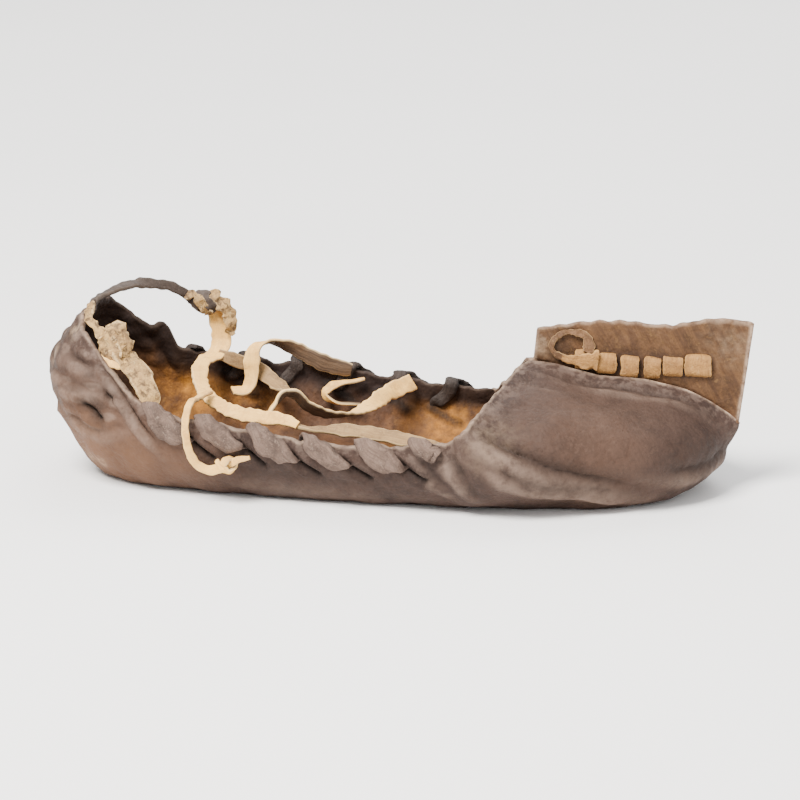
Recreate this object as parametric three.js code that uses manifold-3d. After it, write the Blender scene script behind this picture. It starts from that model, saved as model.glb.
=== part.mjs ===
// Abarca sandal folded from one raw hide, with whip-laced rims, a sewn toe fin and cream leather laces.
// Millimetres. +X runs to the toe, +Y to the wearer's left, +Z up; the sole rests on z = 0.
import * as THREE from "three";
import { mergeVertices } from "three/addons/utils/BufferGeometryUtils.js";
import Module from "manifold-3d";

const wasm = await Module();
wasm.setup();

const HIDE_THICK = 2.2;
const HALF = HIDE_THICK / 2;
const GAP = 0.35; // air left between pieces that lie on each other
const NEAR = -1; // the wearer's right side
const FAR = 1;

// Sole lift: the hide turns up a little at the toe and the heel, and lies flat between.
const TOE_LIFT = { from: 76, over: 30, lift: 2.4 };
const HEEL_LIFT = { from: -94, over: 19, lift: 1.4 };

// Ribs of the folded hide, a row each, from the heel's centre to the stem at the toe. A rib leaves the sole's
// outline flat, is widest at the wall point and ends on the rim, the throat edge or the toe ridge. fold is
// how wide it turns up from the sole; wallRise and edgeRise are its slopes there in degrees, 90 upright;
// farDrop is how much lower the edge lies on the far side.
const RIB_COLUMNS = [
  "soleX", "soleY", "fold", "wallX", "wallY", "wallZ", "wallRise", "edgeX", "edgeY", "edgeZ", "edgeRise",
  "farDrop",
];
const RIBS = [
  [-113, 0, 0.15, -129.5, 0, 39, 87, -116, 0, 61, 62, 0],
  [-112, 9, 0.15, -128.5, 13, 39, 87, -116, 14, 61, 62, 0],
  [-106, 18, 0.2, -121, 28, 35, 87, -113, 25, 57, 67, 0],
  [-95, 23, 0.45, -106, 37, 28, 87, -103, 32.5, 46.5, 74, 0],
  [-80, 26.5, 0.75, -86, 41.5, 21, 84, -86, 41, 33.5, 88, 0],
  [-50, 32, 0.8, -50, 45, 17, 78, -50, 47, 29, 84, 0],
  [-15, 35.5, 0.75, -15, 48, 14.5, 76, -15, 49.5, 25, 86, 0.3],
  [20, 36, 0.7, 22, 51, 14.5, 80, 22, 50, 27.2, 94, 6.7],
  [31, 36.5, 0.65, 34, 55, 16, 86, 29, 53.6, 32, 78, 12.2],
  [42, 36, 0.6, 47, 55, 18, 90, 34, 44.5, 36, 45, 10.8],
  [52, 35, 0.6, 57.5, 53, 18.5, 90, 41.5, 23, 42.6, 27, 6.6],
  [62, 34, 0.6, 68, 49.5, 19, 90, 50, 0, 46, 24, 0],
  [78, 31.5, 0.6, 86, 43, 19, 90, 72, 0, 41.5, 30, 0],
  [92, 28, 0.65, 103, 33.5, 18.5, 90, 96, 0, 39.5, 36, 0],
  [102, 22, 0.7, 114.8, 20, 17, 88, 111, 0, 35, 48, 0],
  [106, 0, 0.7, 120, 0, 13, 80, 125.4, 0, 26, 80, 0],
].map((row) => Object.fromEntries(row.map((value, i) => [RIB_COLUMNS[i], value])));
const THROAT_TOP = 11; // the rib where the two wings first meet
const STEM = RIBS.length - 1;
const RIDGE_SIDE = { near: -1.9, far: 1.3 }; // how far each wing's edge stays from the middle along the ridge
const RIDGE_FADE = { throat: 0.8, stem: 0.9 }; // ribs over which that offset comes and goes

// The fin's top edge over the ribs from the throat top to the stem; lean is its offset to the far side.
const FIN = [
  { rib: 11, x: 51, z: 57.5, lean: 2.2 },
  { rib: 12, x: 74, z: 61, lean: 2.8 },
  { rib: 13, x: 98, z: 60.5, lean: 2.0 },
  { rib: 14, x: 115, z: 63.5, lean: 1.6 },
  { rib: 15, x: 130, z: 62.5, lean: 1.0 },
];

const MESH = { ribSteps: 3, wallRows: 5, roofRows: 5, soleRows: 2, finRows: 4 };
const SPINE = { heel: -90, toe: 86 }; // ends of the line the sole's rows start from

const KNEE = 0.95; // tangent length at the wall point for the curve up from the sole, in chords
const ROUND = 1.17; // the same for the curve above it; this much makes a quarter turn round
const SHORT = 0.8; // a flat way shorter than this gives no sure direction
const WELD = 1e-3; // points closer than this are one
const HALVINGS = 40; // steps of a search by halves
const NUDGE = 0.01; // a small step along the table, for slopes

const smooth = (t) => t * t * (3 - 2 * t);
const clamp01 = (t) => Math.min(1, Math.max(0, t));
const lerp = (a, b, t) => a + (b - a) * t;
const vec = (x, y, z) => new THREE.Vector3(x, y, z);

function soleLift(x) {
  const toe = clamp01((x - TOE_LIFT.from) / TOE_LIFT.over);
  const heel = clamp01((HEEL_LIFT.from - x) / HEEL_LIFT.over);
  return TOE_LIFT.lift * toe * toe + HEEL_LIFT.lift * heel * heel;
}

function throughFour(p0, p1, p2, p3, t) {
  const bend = 2 * p0 - 5 * p1 + 4 * p2 - p3;
  return p1 + 0.5 * t * (p2 - p0 + t * (bend + t * (3 * (p1 - p2) + p3 - p0)));
}

// A rib's sizes at place a along the table, the ends carried on as the other side's mirror image.
function ribAt(a) {
  const i = Math.min(STEM - 1, Math.floor(a));
  const row = {};
  for (const key of Object.keys(RIBS[0])) {
    const turn = key.endsWith("Y") ? -1 : 1;
    const before = i > 0 ? RIBS[i - 1][key] : turn * RIBS[1][key];
    const after = i < STEM - 1 ? RIBS[i + 2][key] : turn * RIBS[STEM - 1][key];
    row[key] = throughFour(before, RIBS[i][key], RIBS[i + 1][key], after, a - i);
  }
  return row;
}

function hermite(p, q, tp, tq, t) {
  const h = t * t * (3 - 2 * t);
  const out = p.clone().multiplyScalar(1 - h).addScaledVector(q, h);
  return out.addScaledVector(tp, t * (1 - t) * (1 - t)).addScaledVector(tq, -t * t * (1 - t));
}

function slope(flat, degrees) {
  const rise = THREE.MathUtils.degToRad(degrees);
  return flat.clone().multiplyScalar(Math.cos(rise)).setZ(Math.sin(rise));
}

function flatWay(from, to, otherwise) {
  const way = vec(to.x - from.x, to.y - from.y, 0);
  return way.length() > SHORT ? way.normalize() : otherwise.clone();
}

// How far the wing's edge keeps off the middle plane: full along the ridge, nothing at the stem.
function ridgeOffset(side, a) {
  const coming = smooth(clamp01((a - THROAT_TOP + 1) / RIDGE_FADE.throat));
  const going = smooth(clamp01((STEM - a) / RIDGE_FADE.stem));
  return coming * going * (side === NEAR ? RIDGE_SIDE.near : RIDGE_SIDE.far);
}

// The middle of the hide at rib a on one side; v is 0 on the sole's outline, 1 at the wall, 2 on the edge.
function wallPoint(side, a, v) {
  const r = ribAt(a);
  const sole = vec(r.soleX, side * r.soleY, HALF + soleLift(r.soleX));
  const wall = vec(r.wallX, side * r.wallY, r.wallZ);
  const edge = vec(r.edgeX, side * Math.max(0, r.edgeY), r.edgeZ - (side === FAR ? r.farDrop : 0));
  const offset = Math.abs(ridgeOffset(side, a));
  if (a > THROAT_TOP - 1) edge.y = side * Math.max(Math.abs(edge.y), offset);
  const outward = flatWay(sole, wall, vec(1, 0, 0));
  const knee = slope(outward, r.wallRise);
  if (v <= 1) {
    const chord = sole.distanceTo(wall);
    const leaving = outward.clone().multiplyScalar(chord * r.fold);
    return hermite(sole, wall, leaving, knee.multiplyScalar(chord * KNEE), v);
  }
  const chord = wall.distanceTo(edge) * ROUND;
  const end = slope(flatWay(wall, edge, outward), r.edgeRise);
  return hermite(wall, edge, knee.multiplyScalar(chord), end.multiplyScalar(chord), v - 1);
}

function finTop(a) {
  const i = Math.min(FIN.length - 2, Math.floor(a) - THROAT_TOP);
  const t = a - THROAT_TOP - i;
  const at = (k, key) => FIN[Math.min(FIN.length - 1, Math.max(0, k))][key];
  const value = (key) => throughFour(at(i - 1, key), at(i, key), at(i + 1, key), at(i + 2, key), t);
  return vec(value("x"), value("lean"), value("z"));
}

// The middle of the fin; w is 0 on the ridge and 1 on its top edge.
function finPoint(a, w) {
  const base = wallPoint(FAR, a, 2);
  const top = finTop(a);
  const point = base.clone().lerp(top, w);
  point.y = lerp(base.y, top.y, w * w);
  return point;
}

function solePoint(side, a, q) {
  const r = ribAt(a);
  const along = (r.soleX - RIBS[0].soleX) / (RIBS[STEM].soleX - RIBS[0].soleX);
  const x = lerp(lerp(SPINE.heel, SPINE.toe, along), r.soleX, q);
  return vec(x, side * r.soleY * q, HALF + soleLift(x));
}

function gridFaces(point, columns, rows, flip, faces) {
  for (let c = 0; c < columns; c++) {
    for (let r = 0; r < rows; r++) {
      const [p00, p10, p11, p01] = [point(c, r), point(c + 1, r), point(c + 1, r + 1), point(c, r + 1)];
      const quad = flip ? [p00, p11, p10, p00, p01, p11] : [p00, p10, p11, p00, p11, p01];
      faces.push(...quad);
    }
  }
}

function weld(faces) {
  const geometry = new THREE.BufferGeometry().setFromPoints(faces);
  const merged = mergeVertices(geometry, WELD);
  const index = [...merged.index.array];
  const kept = [];
  for (let i = 0; i < index.length; i += 3) {
    const [a, b, c] = index.slice(i, i + 3);
    if (a !== b && b !== c && c !== a) kept.push(a, b, c);
  }
  merged.setIndex(kept);
  return merged;
}

// A skin given its thickness: one copy each way along the normals, joined round the open edge.
function thicken(faces, half) {
  const skin = weld(faces);
  skin.computeVertexNormals();
  const { position, normal } = skin.attributes;
  const count = position.count;
  const points = [];
  for (const way of [1, -1]) {
    for (let i = 0; i < count; i++) {
      const n = vec(normal.getX(i), normal.getY(i), normal.getZ(i));
      const point = vec(position.getX(i), position.getY(i), position.getZ(i));
      if (point.z < half + WELD) n.set(0, 0, -1); // the flat sole stays flat
      points.push(point.addScaledVector(n, way * half));
    }
  }
  const index = [...skin.index.array];
  const edges = new Map();
  const tris = [];
  for (let i = 0; i < index.length; i += 3) {
    const tri = index.slice(i, i + 3);
    tris.push(...tri, tri[0] + count, tri[2] + count, tri[1] + count);
    tri.forEach((from, k) => edges.set(from + ">" + tri[(k + 1) % 3], [from, tri[(k + 1) % 3]]));
  }
  for (const [from, to] of edges.values()) {
    if (edges.has(to + ">" + from)) continue;
    tris.push(to, from, from + count, to, from + count, to + count);
  }
  return solidFrom(points, tris);
}

function solidFrom(points, tris) {
  const vertProperties = new Float32Array(points.flatMap((p) => [p.x, p.y, p.z]));
  return new wasm.Manifold(new wasm.Mesh({ numProp: 3, vertProperties, triVerts: new Uint32Array(tris) }));
}

function hideSkin() {
  const faces = [];
  const steps = STEM * MESH.ribSteps;
  const rows = MESH.wallRows + MESH.roofRows;
  const place = (c) => c / MESH.ribSteps;
  const height = (r) => Math.min(1, r / MESH.wallRows) + Math.max(0, r - MESH.wallRows) / MESH.roofRows;
  for (const side of [NEAR, FAR]) {
    const flip = side === FAR;
    gridFaces((c, r) => wallPoint(side, place(c), height(r)), steps, rows, flip, faces);
    const sole = (c, r) => solePoint(side, place(c), r / MESH.soleRows);
    gridFaces(sole, steps, MESH.soleRows, flip, faces);
  }
  const finSteps = (STEM - THROAT_TOP) * MESH.ribSteps;
  const fin = (c, r) => finPoint(THROAT_TOP + place(c), r / MESH.finRows);
  gridFaces(fin, finSteps, MESH.finRows, true, faces);
  return faces;
}

// The place along the ribs where the rim stands at x, between the heel and the throat.
const RIM_START = 1.2; // the rim first runs towards the toe from here
function rimPlace(x) {
  let [low, high] = [RIM_START, THROAT_TOP];
  for (let i = 0; i < HALVINGS; i++) {
    const middle = (low + high) / 2;
    if (ribAt(middle).edgeX < x) low = middle;
    else high = middle;
  }
  return (low + high) / 2;
}

// A point by the rim: x along it, depth below its edge and off from the middle of the hide, positive outside.
function byRim(side, x, depth, off) {
  const a = rimPlace(x);
  const edge = wallPoint(side, a, 2);
  const roof = wallPoint(side, a, 1).distanceTo(edge);
  const v = 2 - Math.max(0, depth) / roof;
  const base = wallPoint(side, a, v);
  const up = wallPoint(side, a, v + NUDGE).sub(wallPoint(side, a, v - NUDGE)).normalize();
  const along = wallPoint(side, a + NUDGE, v).sub(wallPoint(side, a - NUDGE, v)).normalize();
  const out = along.clone().cross(up).multiplyScalar(-side).normalize();
  const point = base.clone().addScaledVector(out, off).addScaledVector(up, Math.max(0, -depth));
  return { point, up, out };
}

// A flat strip swept through stations of a point, the way its face looks and its width.
function strip(stations, thick) {
  const points = [];
  const tris = [];
  stations.forEach((s, i) => {
    const before = stations[Math.max(0, i - 1)].point;
    const after = stations[Math.min(stations.length - 1, i + 1)].point;
    const ahead = after.clone().sub(before).normalize();
    const across = ahead.clone().cross(s.face).normalize();
    const face = across.clone().cross(ahead);
    const [w, t] = [s.width / 2, thick / 2];
    for (const [x, y] of [[-w, -t], [w, -t], [w, t], [-w, t]]) {
      points.push(s.point.clone().addScaledVector(across, x).addScaledVector(face, y));
    }
    if (i === 0) return;
    const base = 4 * i;
    for (let k = 0; k < 4; k++) {
      const next = (k + 1) % 4;
      tris.push(base - 4 + k, base + k, base - 4 + next, base - 4 + next, base + k, base + next);
    }
  });
  const last = points.length - 4;
  tris.push(0, 1, 2, 0, 2, 3, last, last + 2, last + 1, last, last + 3, last + 2);
  return solidFrom(points, tris);
}

// A slit cut through the hide at a point: long by tall, along the given ways.
const SLIT_DEEP = 7;
function slit(point, along, up, out, long, tall) {
  const box = new THREE.BoxGeometry(long, tall, SLIT_DEEP);
  const turned = new THREE.Matrix4().makeBasis(along, up, out).setPosition(point);
  return fromGeometry(box.applyMatrix4(turned));
}

// Rim lacing: a strip of hide wound round the rim, over its edge and through a slit below it once per pitch.
// along is a share of the pitch; turn is the way the strip's face looks, 0 out of the shoe and 90 up.
const RIM_THONG = { thick: 1.7, pitch: 19.8, fromX: -86, stitches: 5, lastEnd: 0.43 };
const RIM_SLIT = { row: 5, long: 9.6, tall: 6 }; // where the strip goes through the hide, and its slit
const RIM_STITCH = [
  { along: 0.0, depth: -2.3, off: 0, turn: 90, width: 6 },
  { along: 0.08, depth: -1.0, off: 2.3, turn: 40, width: 7 },
  { along: 0.2, depth: 1.8, off: 2.7, turn: 5, width: 8 },
  { along: 0.43, depth: 4.8, off: 2.7, turn: 0, width: 8 },
  { along: 0.62, depth: 7.2, off: 2.4, turn: -20, width: 6 },
  { along: 0.69, depth: 8.4, off: 0, turn: -90, width: 4.6 },
  { along: 0.75, depth: 7.2, off: -2.4, turn: -160, width: 5 },
  { along: 0.86, depth: 4.0, off: -2.7, turn: -180, width: 5.5 },
  { along: 0.95, depth: 1.0, off: -2.7, turn: -190, width: 6 },
  { along: 0.985, depth: -1.0, off: -2.3, turn: -220, width: 6 },
];
const SMOOTHING = 2; // stations laid for each row of a stitch

// The rim strip's rows in order, the turn carried on from stitch to stitch.
function rimRows() {
  const rows = [];
  for (let i = 0; i <= RIM_THONG.stitches; i++) {
    for (const s of RIM_STITCH) {
      if (i === RIM_THONG.stitches && s.along > RIM_THONG.lastEnd) break;
      rows.push({ ...s, along: s.along + i, turn: s.turn - 360 * i });
    }
  }
  return rows;
}

function rimStation(side, row) {
  const x = RIM_THONG.fromX + row.along * RIM_THONG.pitch;
  const { point, up, out } = byRim(side, x, row.depth, row.off);
  const turn = THREE.MathUtils.degToRad(row.turn);
  const face = out.multiplyScalar(Math.cos(turn)).addScaledVector(up, Math.sin(turn));
  return { point, face, width: row.width };
}

function rimThong(side) {
  const rows = rimRows();
  const stations = [];
  const at = (i) => rows[Math.min(rows.length - 1, Math.max(0, i))];
  for (let i = 0; i < rows.length - 1; i++) {
    for (let k = 0; k < SMOOTHING; k++) {
      const row = {};
      for (const key of Object.keys(rows[0])) {
        const four = [-1, 0, 1, 2].map((step) => at(i + step)[key]);
        row[key] = throughFour(...four, k / SMOOTHING);
      }
      stations.push(rimStation(side, row));
    }
  }
  stations.push(rimStation(side, rows[rows.length - 1]));
  return stations;
}

function rimSlits(side) {
  const cuts = [];
  for (let i = 0; i < RIM_THONG.stitches; i++) {
    const row = RIM_STITCH[RIM_SLIT.row];
    const x = RIM_THONG.fromX + (i + row.along) * RIM_THONG.pitch;
    const { point, up, out } = byRim(side, x, row.depth, row.off);
    const along = up.clone().cross(out);
    cuts.push(slit(point, along, up, out, RIM_SLIT.long, RIM_SLIT.tall));
  }
  return cuts;
}

// Toe sewing: a wide strip wound through the fin, one square stitch per row of the table on the near side.
const TOE_THONG = { thick: 1.5 };
const TOE_SLIT = { ends: [-0.47, 0.47], long: 7.4, tall: 4.4 }; // ends are shares of the stitch's height
const TOE_STITCHES = [
  { x: 70, z: 47.2, tall: 8.4 },
  { x: 78.6, z: 46.6, tall: 8.2 },
  { x: 87, z: 46.2, tall: 8.4 },
  { x: 95.4, z: 45.8, tall: 8.0 },
  { x: 103.6, z: 45.4, tall: 8.2 },
  { x: 112, z: 44.8, tall: 8.6 },
];
const TOE_STITCH = [
  { rise: -0.5, on: 0, off: 0, face: "z-", width: 5.8 },
  { rise: -0.36, on: 0, off: -2.3, face: "y-", width: 7.2 },
  { rise: 0.36, on: 0, off: -2.3, face: "y-", width: 7.2 },
  { rise: 0.5, on: 0.04, off: 0, face: "z+", width: 5.4 },
  { rise: 0.34, on: 0.1, off: 2.9, face: "y+", width: 4.2 },
  { rise: -0.34, on: 0.9, off: 2.9, face: "y+", width: 4.2 },
];
const FACES = { "y-": vec(0, -1, 0), "y+": vec(0, 1, 0), "z-": vec(0, 0, -1), "z+": vec(0, 0, 1) };

// How far the middle of the fin stands to the far side at x and z.
function finSide(x, z) {
  let [low, high] = [THROAT_TOP, STEM];
  let point;
  for (let i = 0; i < HALVINGS; i++) {
    const a = (low + high) / 2;
    const base = wallPoint(FAR, a, 2);
    point = finPoint(a, clamp01((z - base.z) / (finTop(a).z - base.z)));
    if (point.x < x) low = a;
    else high = a;
  }
  return point.y;
}

function toePoint(x, z, off) {
  return vec(x, finSide(x, z) + off, z);
}

function toeThong() {
  const stations = [];
  TOE_STITCHES.forEach((stitch, i) => {
    const next = TOE_STITCHES[i + 1];
    for (const s of TOE_STITCH) {
      if (!next && s.off > 0) break; // the last stitch ends in its upper slit
      const on = next ? s.on : 0;
      const x = lerp(stitch.x, next ? next.x : stitch.x, on);
      const z = lerp(stitch.z, next ? next.z : stitch.z, on) + s.rise * stitch.tall;
      stations.push({ point: toePoint(x, z, s.off), face: FACES[s.face], width: s.width });
    }
  });
  return stations;
}

function toeSlits() {
  const cuts = [];
  for (const { x, z, tall } of TOE_STITCHES) {
    for (const end of TOE_SLIT.ends) {
      const point = toePoint(x, z + end * tall, 0);
      cuts.push(slit(point, vec(1, 0, 0), FACES["z+"], FACES["y-"], TOE_SLIT.long, TOE_SLIT.tall));
    }
  }
  return cuts;
}

// A lace: a flat strip of eight-sided section along a smooth path; face is where its flat side looks first.
const LACE_MESH = { step: 5, fewest: 6, sides: 8 };
function lace({ section, face, path }) {
  const points = path.map(([x, y, z]) => vec(x, y, z));
  const curve = new THREE.CatmullRomCurve3(points, false, "centripetal");
  const steps = Math.max(LACE_MESH.fewest, Math.round(curve.getLength() / LACE_MESH.step));
  const frame = curve.computeFrenetFrames(steps, false);
  const way = vec(...face);
  const spin = Math.atan2(way.dot(frame.binormals[0]), way.dot(frame.normals[0]));
  const corners = [];
  for (let k = 0; k < LACE_MESH.sides; k++) {
    const angle = (k + 0.5) * (2 * Math.PI / LACE_MESH.sides);
    const corner = new THREE.Vector2(Math.cos(angle) * section.thick, Math.sin(angle) * section.width);
    corners.push(corner.multiplyScalar(0.5).rotateAround(new THREE.Vector2(), spin));
  }
  const options = { steps, extrudePath: curve, bevelEnabled: false };
  return fromGeometry(new THREE.ExtrudeGeometry(new THREE.Shape(corners), options));
}

function fromGeometry(geometry) {
  geometry.deleteAttribute("normal");
  geometry.deleteAttribute("uv");
  const merged = mergeVertices(geometry, WELD);
  const vertProperties = merged.attributes.position.array;
  const triVerts = new Uint32Array(merged.index.array);
  return new wasm.Manifold(new wasm.Mesh({ numProp: 3, vertProperties, triVerts }));
}

const UP = [0, 0, 1];
const SIDEWAYS = [0, 1, 0];
const CREAM = { width: 4.6, thick: 1.7 };
const DARK = { width: 3.8, thick: 2.2 };
const THIN = { width: 2.6, thick: 1.6 };
const TOE_END = { width: 3, thick: 1.5 };
const WIDE = { width: 7.4, thick: 1.7 };
const BAND = { width: 5.8, thick: 1.6 };

// Lace routes, each a list of points from one end to the other.
const REAR_CROSSING = {
  section: CREAM,
  face: SIDEWAYS,
  path: [
    [-75.5, 41, 47.6], [-74.5, 39.5, 39], [-76, 36.5, 34.5], [-79.5, 29, 33], [-78.5, 16, 31.2],
    [-73.5, 0, 29], [-65.5, -14, 28.4], [-57, -24, 28.4], [-46.5, -32, 29.4], [-37, -37, 30.2],
    [-29, -39.5, 28.2],
  ],
};
const FRONT_CROSSING = {
  section: CREAM,
  face: UP,
  path: [
    [-1.6, 45, 22.6], [-9, 34, 22.4], [-13.4, 18, 21.6], [-18, 3, 22.2], [-25, -8, 24.6],
    [-32, -16, 29.8], [-36, -19, 35], [-39.5, -22, 36], [-43, -27, 32.5], [-44.5, -31.5, 29.6],
  ],
};
const NEAR_STRAP = {
  section: CREAM,
  face: SIDEWAYS,
  path: [
    [-37, -37, 30.2], [-29, -39.5, 28.2], [-17, -38, 27.4], [-8, -38, 26.8], [2, -39.5, 26],
    [13, -43, 25.2], [21, -46.3, 24.4],
  ],
};
const MIDDLE_STRAND = {
  section: CREAM,
  face: SIDEWAYS,
  path: [
    [-76, 36.5, 34.5], [-71, 36.6, 33], [-66, 38.4, 30.8], [-61.5, 40, 28.6], [-56.5, 37.4, 26.2],
    [-51, 32, 23.8], [-46.5, 24, 23.4], [-42, 10, 26], [-38.5, -6, 31.5], [-36, -19, 35],
  ],
};
const STANDING_STRAP = {
  section: BAND,
  face: SIDEWAYS,
  path: [
    [-69, 31, 21.5], [-64, 33.6, 21.4], [-62, 34.8, 25.5], [-62, 35.6, 32], [-61, 37.6, 37],
    [-56.5, 42.4, 38.4], [-50, 44.4, 37], [-43, 44.2, 33.8],
    [-36, 43.4, 30.6], [-30, 43.8, 28.8], [-25, 44.7, 27.8],
  ],
};
const HANGING_LOOP = {
  section: THIN,
  face: UP,
  path: [
    [-70.5, -7.5, 31.4], [-71, -25, 34], [-71.5, -43, 35.8], [-71.6, -50.2, 30], [-70.6, -49.6, 21],
    [-68.2, -47.6, 15.3], [-63.5, -46.2, 12.8], [-58.8, -47.4, 14.2], [-53, -48.6, 17.6], [-48, -49.4, 19],
  ],
};
const FAR_LACE_LOOP = {
  section: THIN,
  face: SIDEWAYS,
  path: [
    [-20, 45.5, 24], [-27, 42.4, 23.2], [-33, 41.2, 21.4], [-34.6, 40.2, 18.6], [-31, 39.4, 16.4],
    [-21, 40.8, 15.4],
  ],
};
const ANKLE_THONG = {
  section: DARK,
  face: UP,
  path: [
    [-105.2, -26.6, 56.6], [-109.8, -24.4, 59.4], [-112.8, -19.4, 61.6], [-114.2, -11, 63.4],
    [-113.8, -2, 63.8], [-111.6, 6, 64], [-107.5, 13.5, 65], [-101, 25, 64], [-91, 33.5, 60.5],
    [-84.6, 38.4, 54.8],
  ],
};
const NEAR_ANKLE_STRAP = {
  section: WIDE,
  face: SIDEWAYS,
  path: [[-98.4, -28.7, 49.9], [-92.5, -32, 45], [-88, -36.5, 38], [-85, -38.8, 30]],
};
const TOE_THONG_END = {
  section: TOE_END,
  face: SIDEWAYS,
  path: [
    [72.4, -0.5, 53.2], [71.6, -0.2, 55.8], [68.6, 0, 57.4], [64.4, 0, 57.6], [60.2, -0.1, 56.6],
    [57, -0.4, 54], [56.6, -0.7, 50.4], [59.4, -0.9, 48], [63, -0.9, 47.4],
  ],
};

// Knots, as plain lumps; size is half of each side.
const LOOP_KNOT = { at: [-56, -48, 15.8], size: [3, 2.2, 2.6] };
const FAR_ANKLE_KNOT = { at: [-78.5, 40, 52.5], size: [6.5, 4, 5] };
const NEAR_ANKLE_KNOT = { at: [-102, -26.8, 52.4], size: [4.5, 3.6, 5] };
const KNOT_MESH = { round: 12, tall: 8 };

function knot({ at, size }) {
  const ball = new THREE.SphereGeometry(1, KNOT_MESH.round, KNOT_MESH.tall);
  return fromGeometry(ball.scale(...size).translate(...at));
}

let hide = thicken(hideSkin(), HALF);
for (const cut of [...rimSlits(NEAR), ...rimSlits(FAR), ...toeSlits()]) hide = hide.subtract(cut);

function toGeometry(solid) {
  const mesh = solid.getMesh();
  const geometry = new THREE.BufferGeometry();
  geometry.setAttribute("position", new THREE.BufferAttribute(mesh.vertProperties, 3));
  geometry.setIndex(new THREE.BufferAttribute(mesh.triVerts, 1));
  geometry.computeVertexNormals();
  return geometry;
}

const HIDE_FINISH = { color: 0x80685c, roughness: 0.8 };
const DARK_FINISH = { color: 0x5f5046, roughness: 0.85 };
const CREAM_FINISH = { color: 0xdcc8ad, roughness: 0.75 };
const PALE_FINISH = { color: 0xc09c78, roughness: 0.8 };

const sandal = new THREE.Group();
function addPiece(name, solid, finish) {
  const mesh = new THREE.Mesh(toGeometry(solid), new THREE.MeshStandardMaterial({ ...finish, metalness: 0 }));
  mesh.name = name;
  sandal.add(mesh);
}

addPiece("hide", hide, HIDE_FINISH);
addPiece("near_rim_thong", strip(rimThong(NEAR), RIM_THONG.thick), DARK_FINISH);
addPiece("far_rim_thong", strip(rimThong(FAR), RIM_THONG.thick), DARK_FINISH);
addPiece("toe_thong", strip(toeThong(), TOE_THONG.thick), PALE_FINISH);
addPiece("toe_thong_end", lace(TOE_THONG_END), PALE_FINISH);

let crossings = lace(REAR_CROSSING);
for (const route of [FRONT_CROSSING, NEAR_STRAP, MIDDLE_STRAND]) crossings = crossings.add(lace(route));
addPiece("lace_crossings", crossings, CREAM_FINISH);
addPiece("standing_strap", lace(STANDING_STRAP), CREAM_FINISH);
addPiece("far_lace_loop", lace(FAR_LACE_LOOP), CREAM_FINISH);
addPiece("hanging_loop", lace(HANGING_LOOP).add(knot(LOOP_KNOT)), CREAM_FINISH);
addPiece("ankle_thong", lace(ANKLE_THONG), DARK_FINISH);
addPiece("near_ankle_strap", lace(NEAR_ANKLE_STRAP), CREAM_FINISH);
addPiece("far_ankle_knot", knot(FAR_ANKLE_KNOT), CREAM_FINISH);
addPiece("near_ankle_knot", knot(NEAR_ANKLE_KNOT), CREAM_FINISH);

export default sandal;
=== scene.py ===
import math

import bpy
import numpy as np
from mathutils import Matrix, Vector, kdtree


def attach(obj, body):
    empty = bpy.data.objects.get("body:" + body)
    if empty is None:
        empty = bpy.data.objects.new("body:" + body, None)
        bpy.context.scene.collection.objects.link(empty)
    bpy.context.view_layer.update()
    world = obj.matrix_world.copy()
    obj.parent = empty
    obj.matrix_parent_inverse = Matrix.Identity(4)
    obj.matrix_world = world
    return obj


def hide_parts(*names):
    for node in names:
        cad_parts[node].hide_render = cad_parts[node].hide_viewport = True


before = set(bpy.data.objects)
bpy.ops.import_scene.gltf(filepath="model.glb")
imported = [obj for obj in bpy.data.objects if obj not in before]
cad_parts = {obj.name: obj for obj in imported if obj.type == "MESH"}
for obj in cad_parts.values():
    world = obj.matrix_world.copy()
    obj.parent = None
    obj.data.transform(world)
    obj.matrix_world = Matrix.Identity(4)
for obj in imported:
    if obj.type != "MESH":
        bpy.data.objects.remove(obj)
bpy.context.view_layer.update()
scene = bpy.context.scene
mm = 0.001  # sizes below are in millimetres
near, far = -1, 1  # the wall by the camera, and the one behind it


def unit(v):
    return v / np.maximum(np.linalg.norm(v, axis=-1, keepdims=True), 1e-9)


def smooth(t):
    t = np.clip(t, 0.0, 1.0)
    return t * t * (3 - 2 * t)


def bell(d, width):
    return np.exp(-((d / width) ** 2))


def wayAlong(line):
    return np.concatenate([[0.0], np.cumsum(np.linalg.norm(np.diff(line, axis=0), axis=1))])


# A soft lumpy value, about -1 to 1, with lumps of the given size.
def lumps(points, size, seed, waves=7):
    draw = np.random.default_rng(seed)
    total = np.zeros(points.shape[:-1])
    for _ in range(waves):
        way = unit(draw.normal(size=3)) * draw.uniform(0.7, 1.5) * 2 * math.pi / size
        total += np.sin(points @ way + draw.uniform(0, 2 * math.pi))
    return total / math.sqrt(waves)


def newObject(name, data):
    made = bpy.data.objects.new(name, data)
    scene.collection.objects.link(made)
    return made


# Camera: a long lens at the side of the shoe, a little above it.
cameraPlace = {"azimuth": 8.0, "elevation": 15.5, "distance": 1600.0, "lens": 194.0, "aim": (0.0, 0.0, 29.0)}


def addCamera(place):
    turn, rise = math.radians(place["azimuth"]), math.radians(place["elevation"])
    back = Vector((math.sin(turn) * math.cos(rise), -math.cos(turn) * math.cos(rise), math.sin(rise)))
    camera = newObject("camera", bpy.data.cameras.new("camera"))
    camera.data.lens = place["lens"]
    camera.location = (Vector(place["aim"]) + back * place["distance"]) * mm
    camera.rotation_euler = back.to_track_quat("Z", "Y").to_euler()
    scene.camera = camera


addCamera(cameraPlace)
print("camera placed")


# Helpers for node trees.
def put(tree, kind, values=None, **settings):
    node = tree.nodes.new(kind)
    for key, value in settings.items():
        setattr(node, key, value)
    for key, value in (values or {}).items():
        if isinstance(value, bpy.types.NodeSocket):
            tree.links.new(value, node.inputs[key])
        else:
            node.inputs[key].default_value = value
    return node


def mathNode(tree, operation, a, b=0.0):
    return put(tree, "ShaderNodeMath", {0: a, 1: b}, operation=operation).outputs[0]


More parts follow.
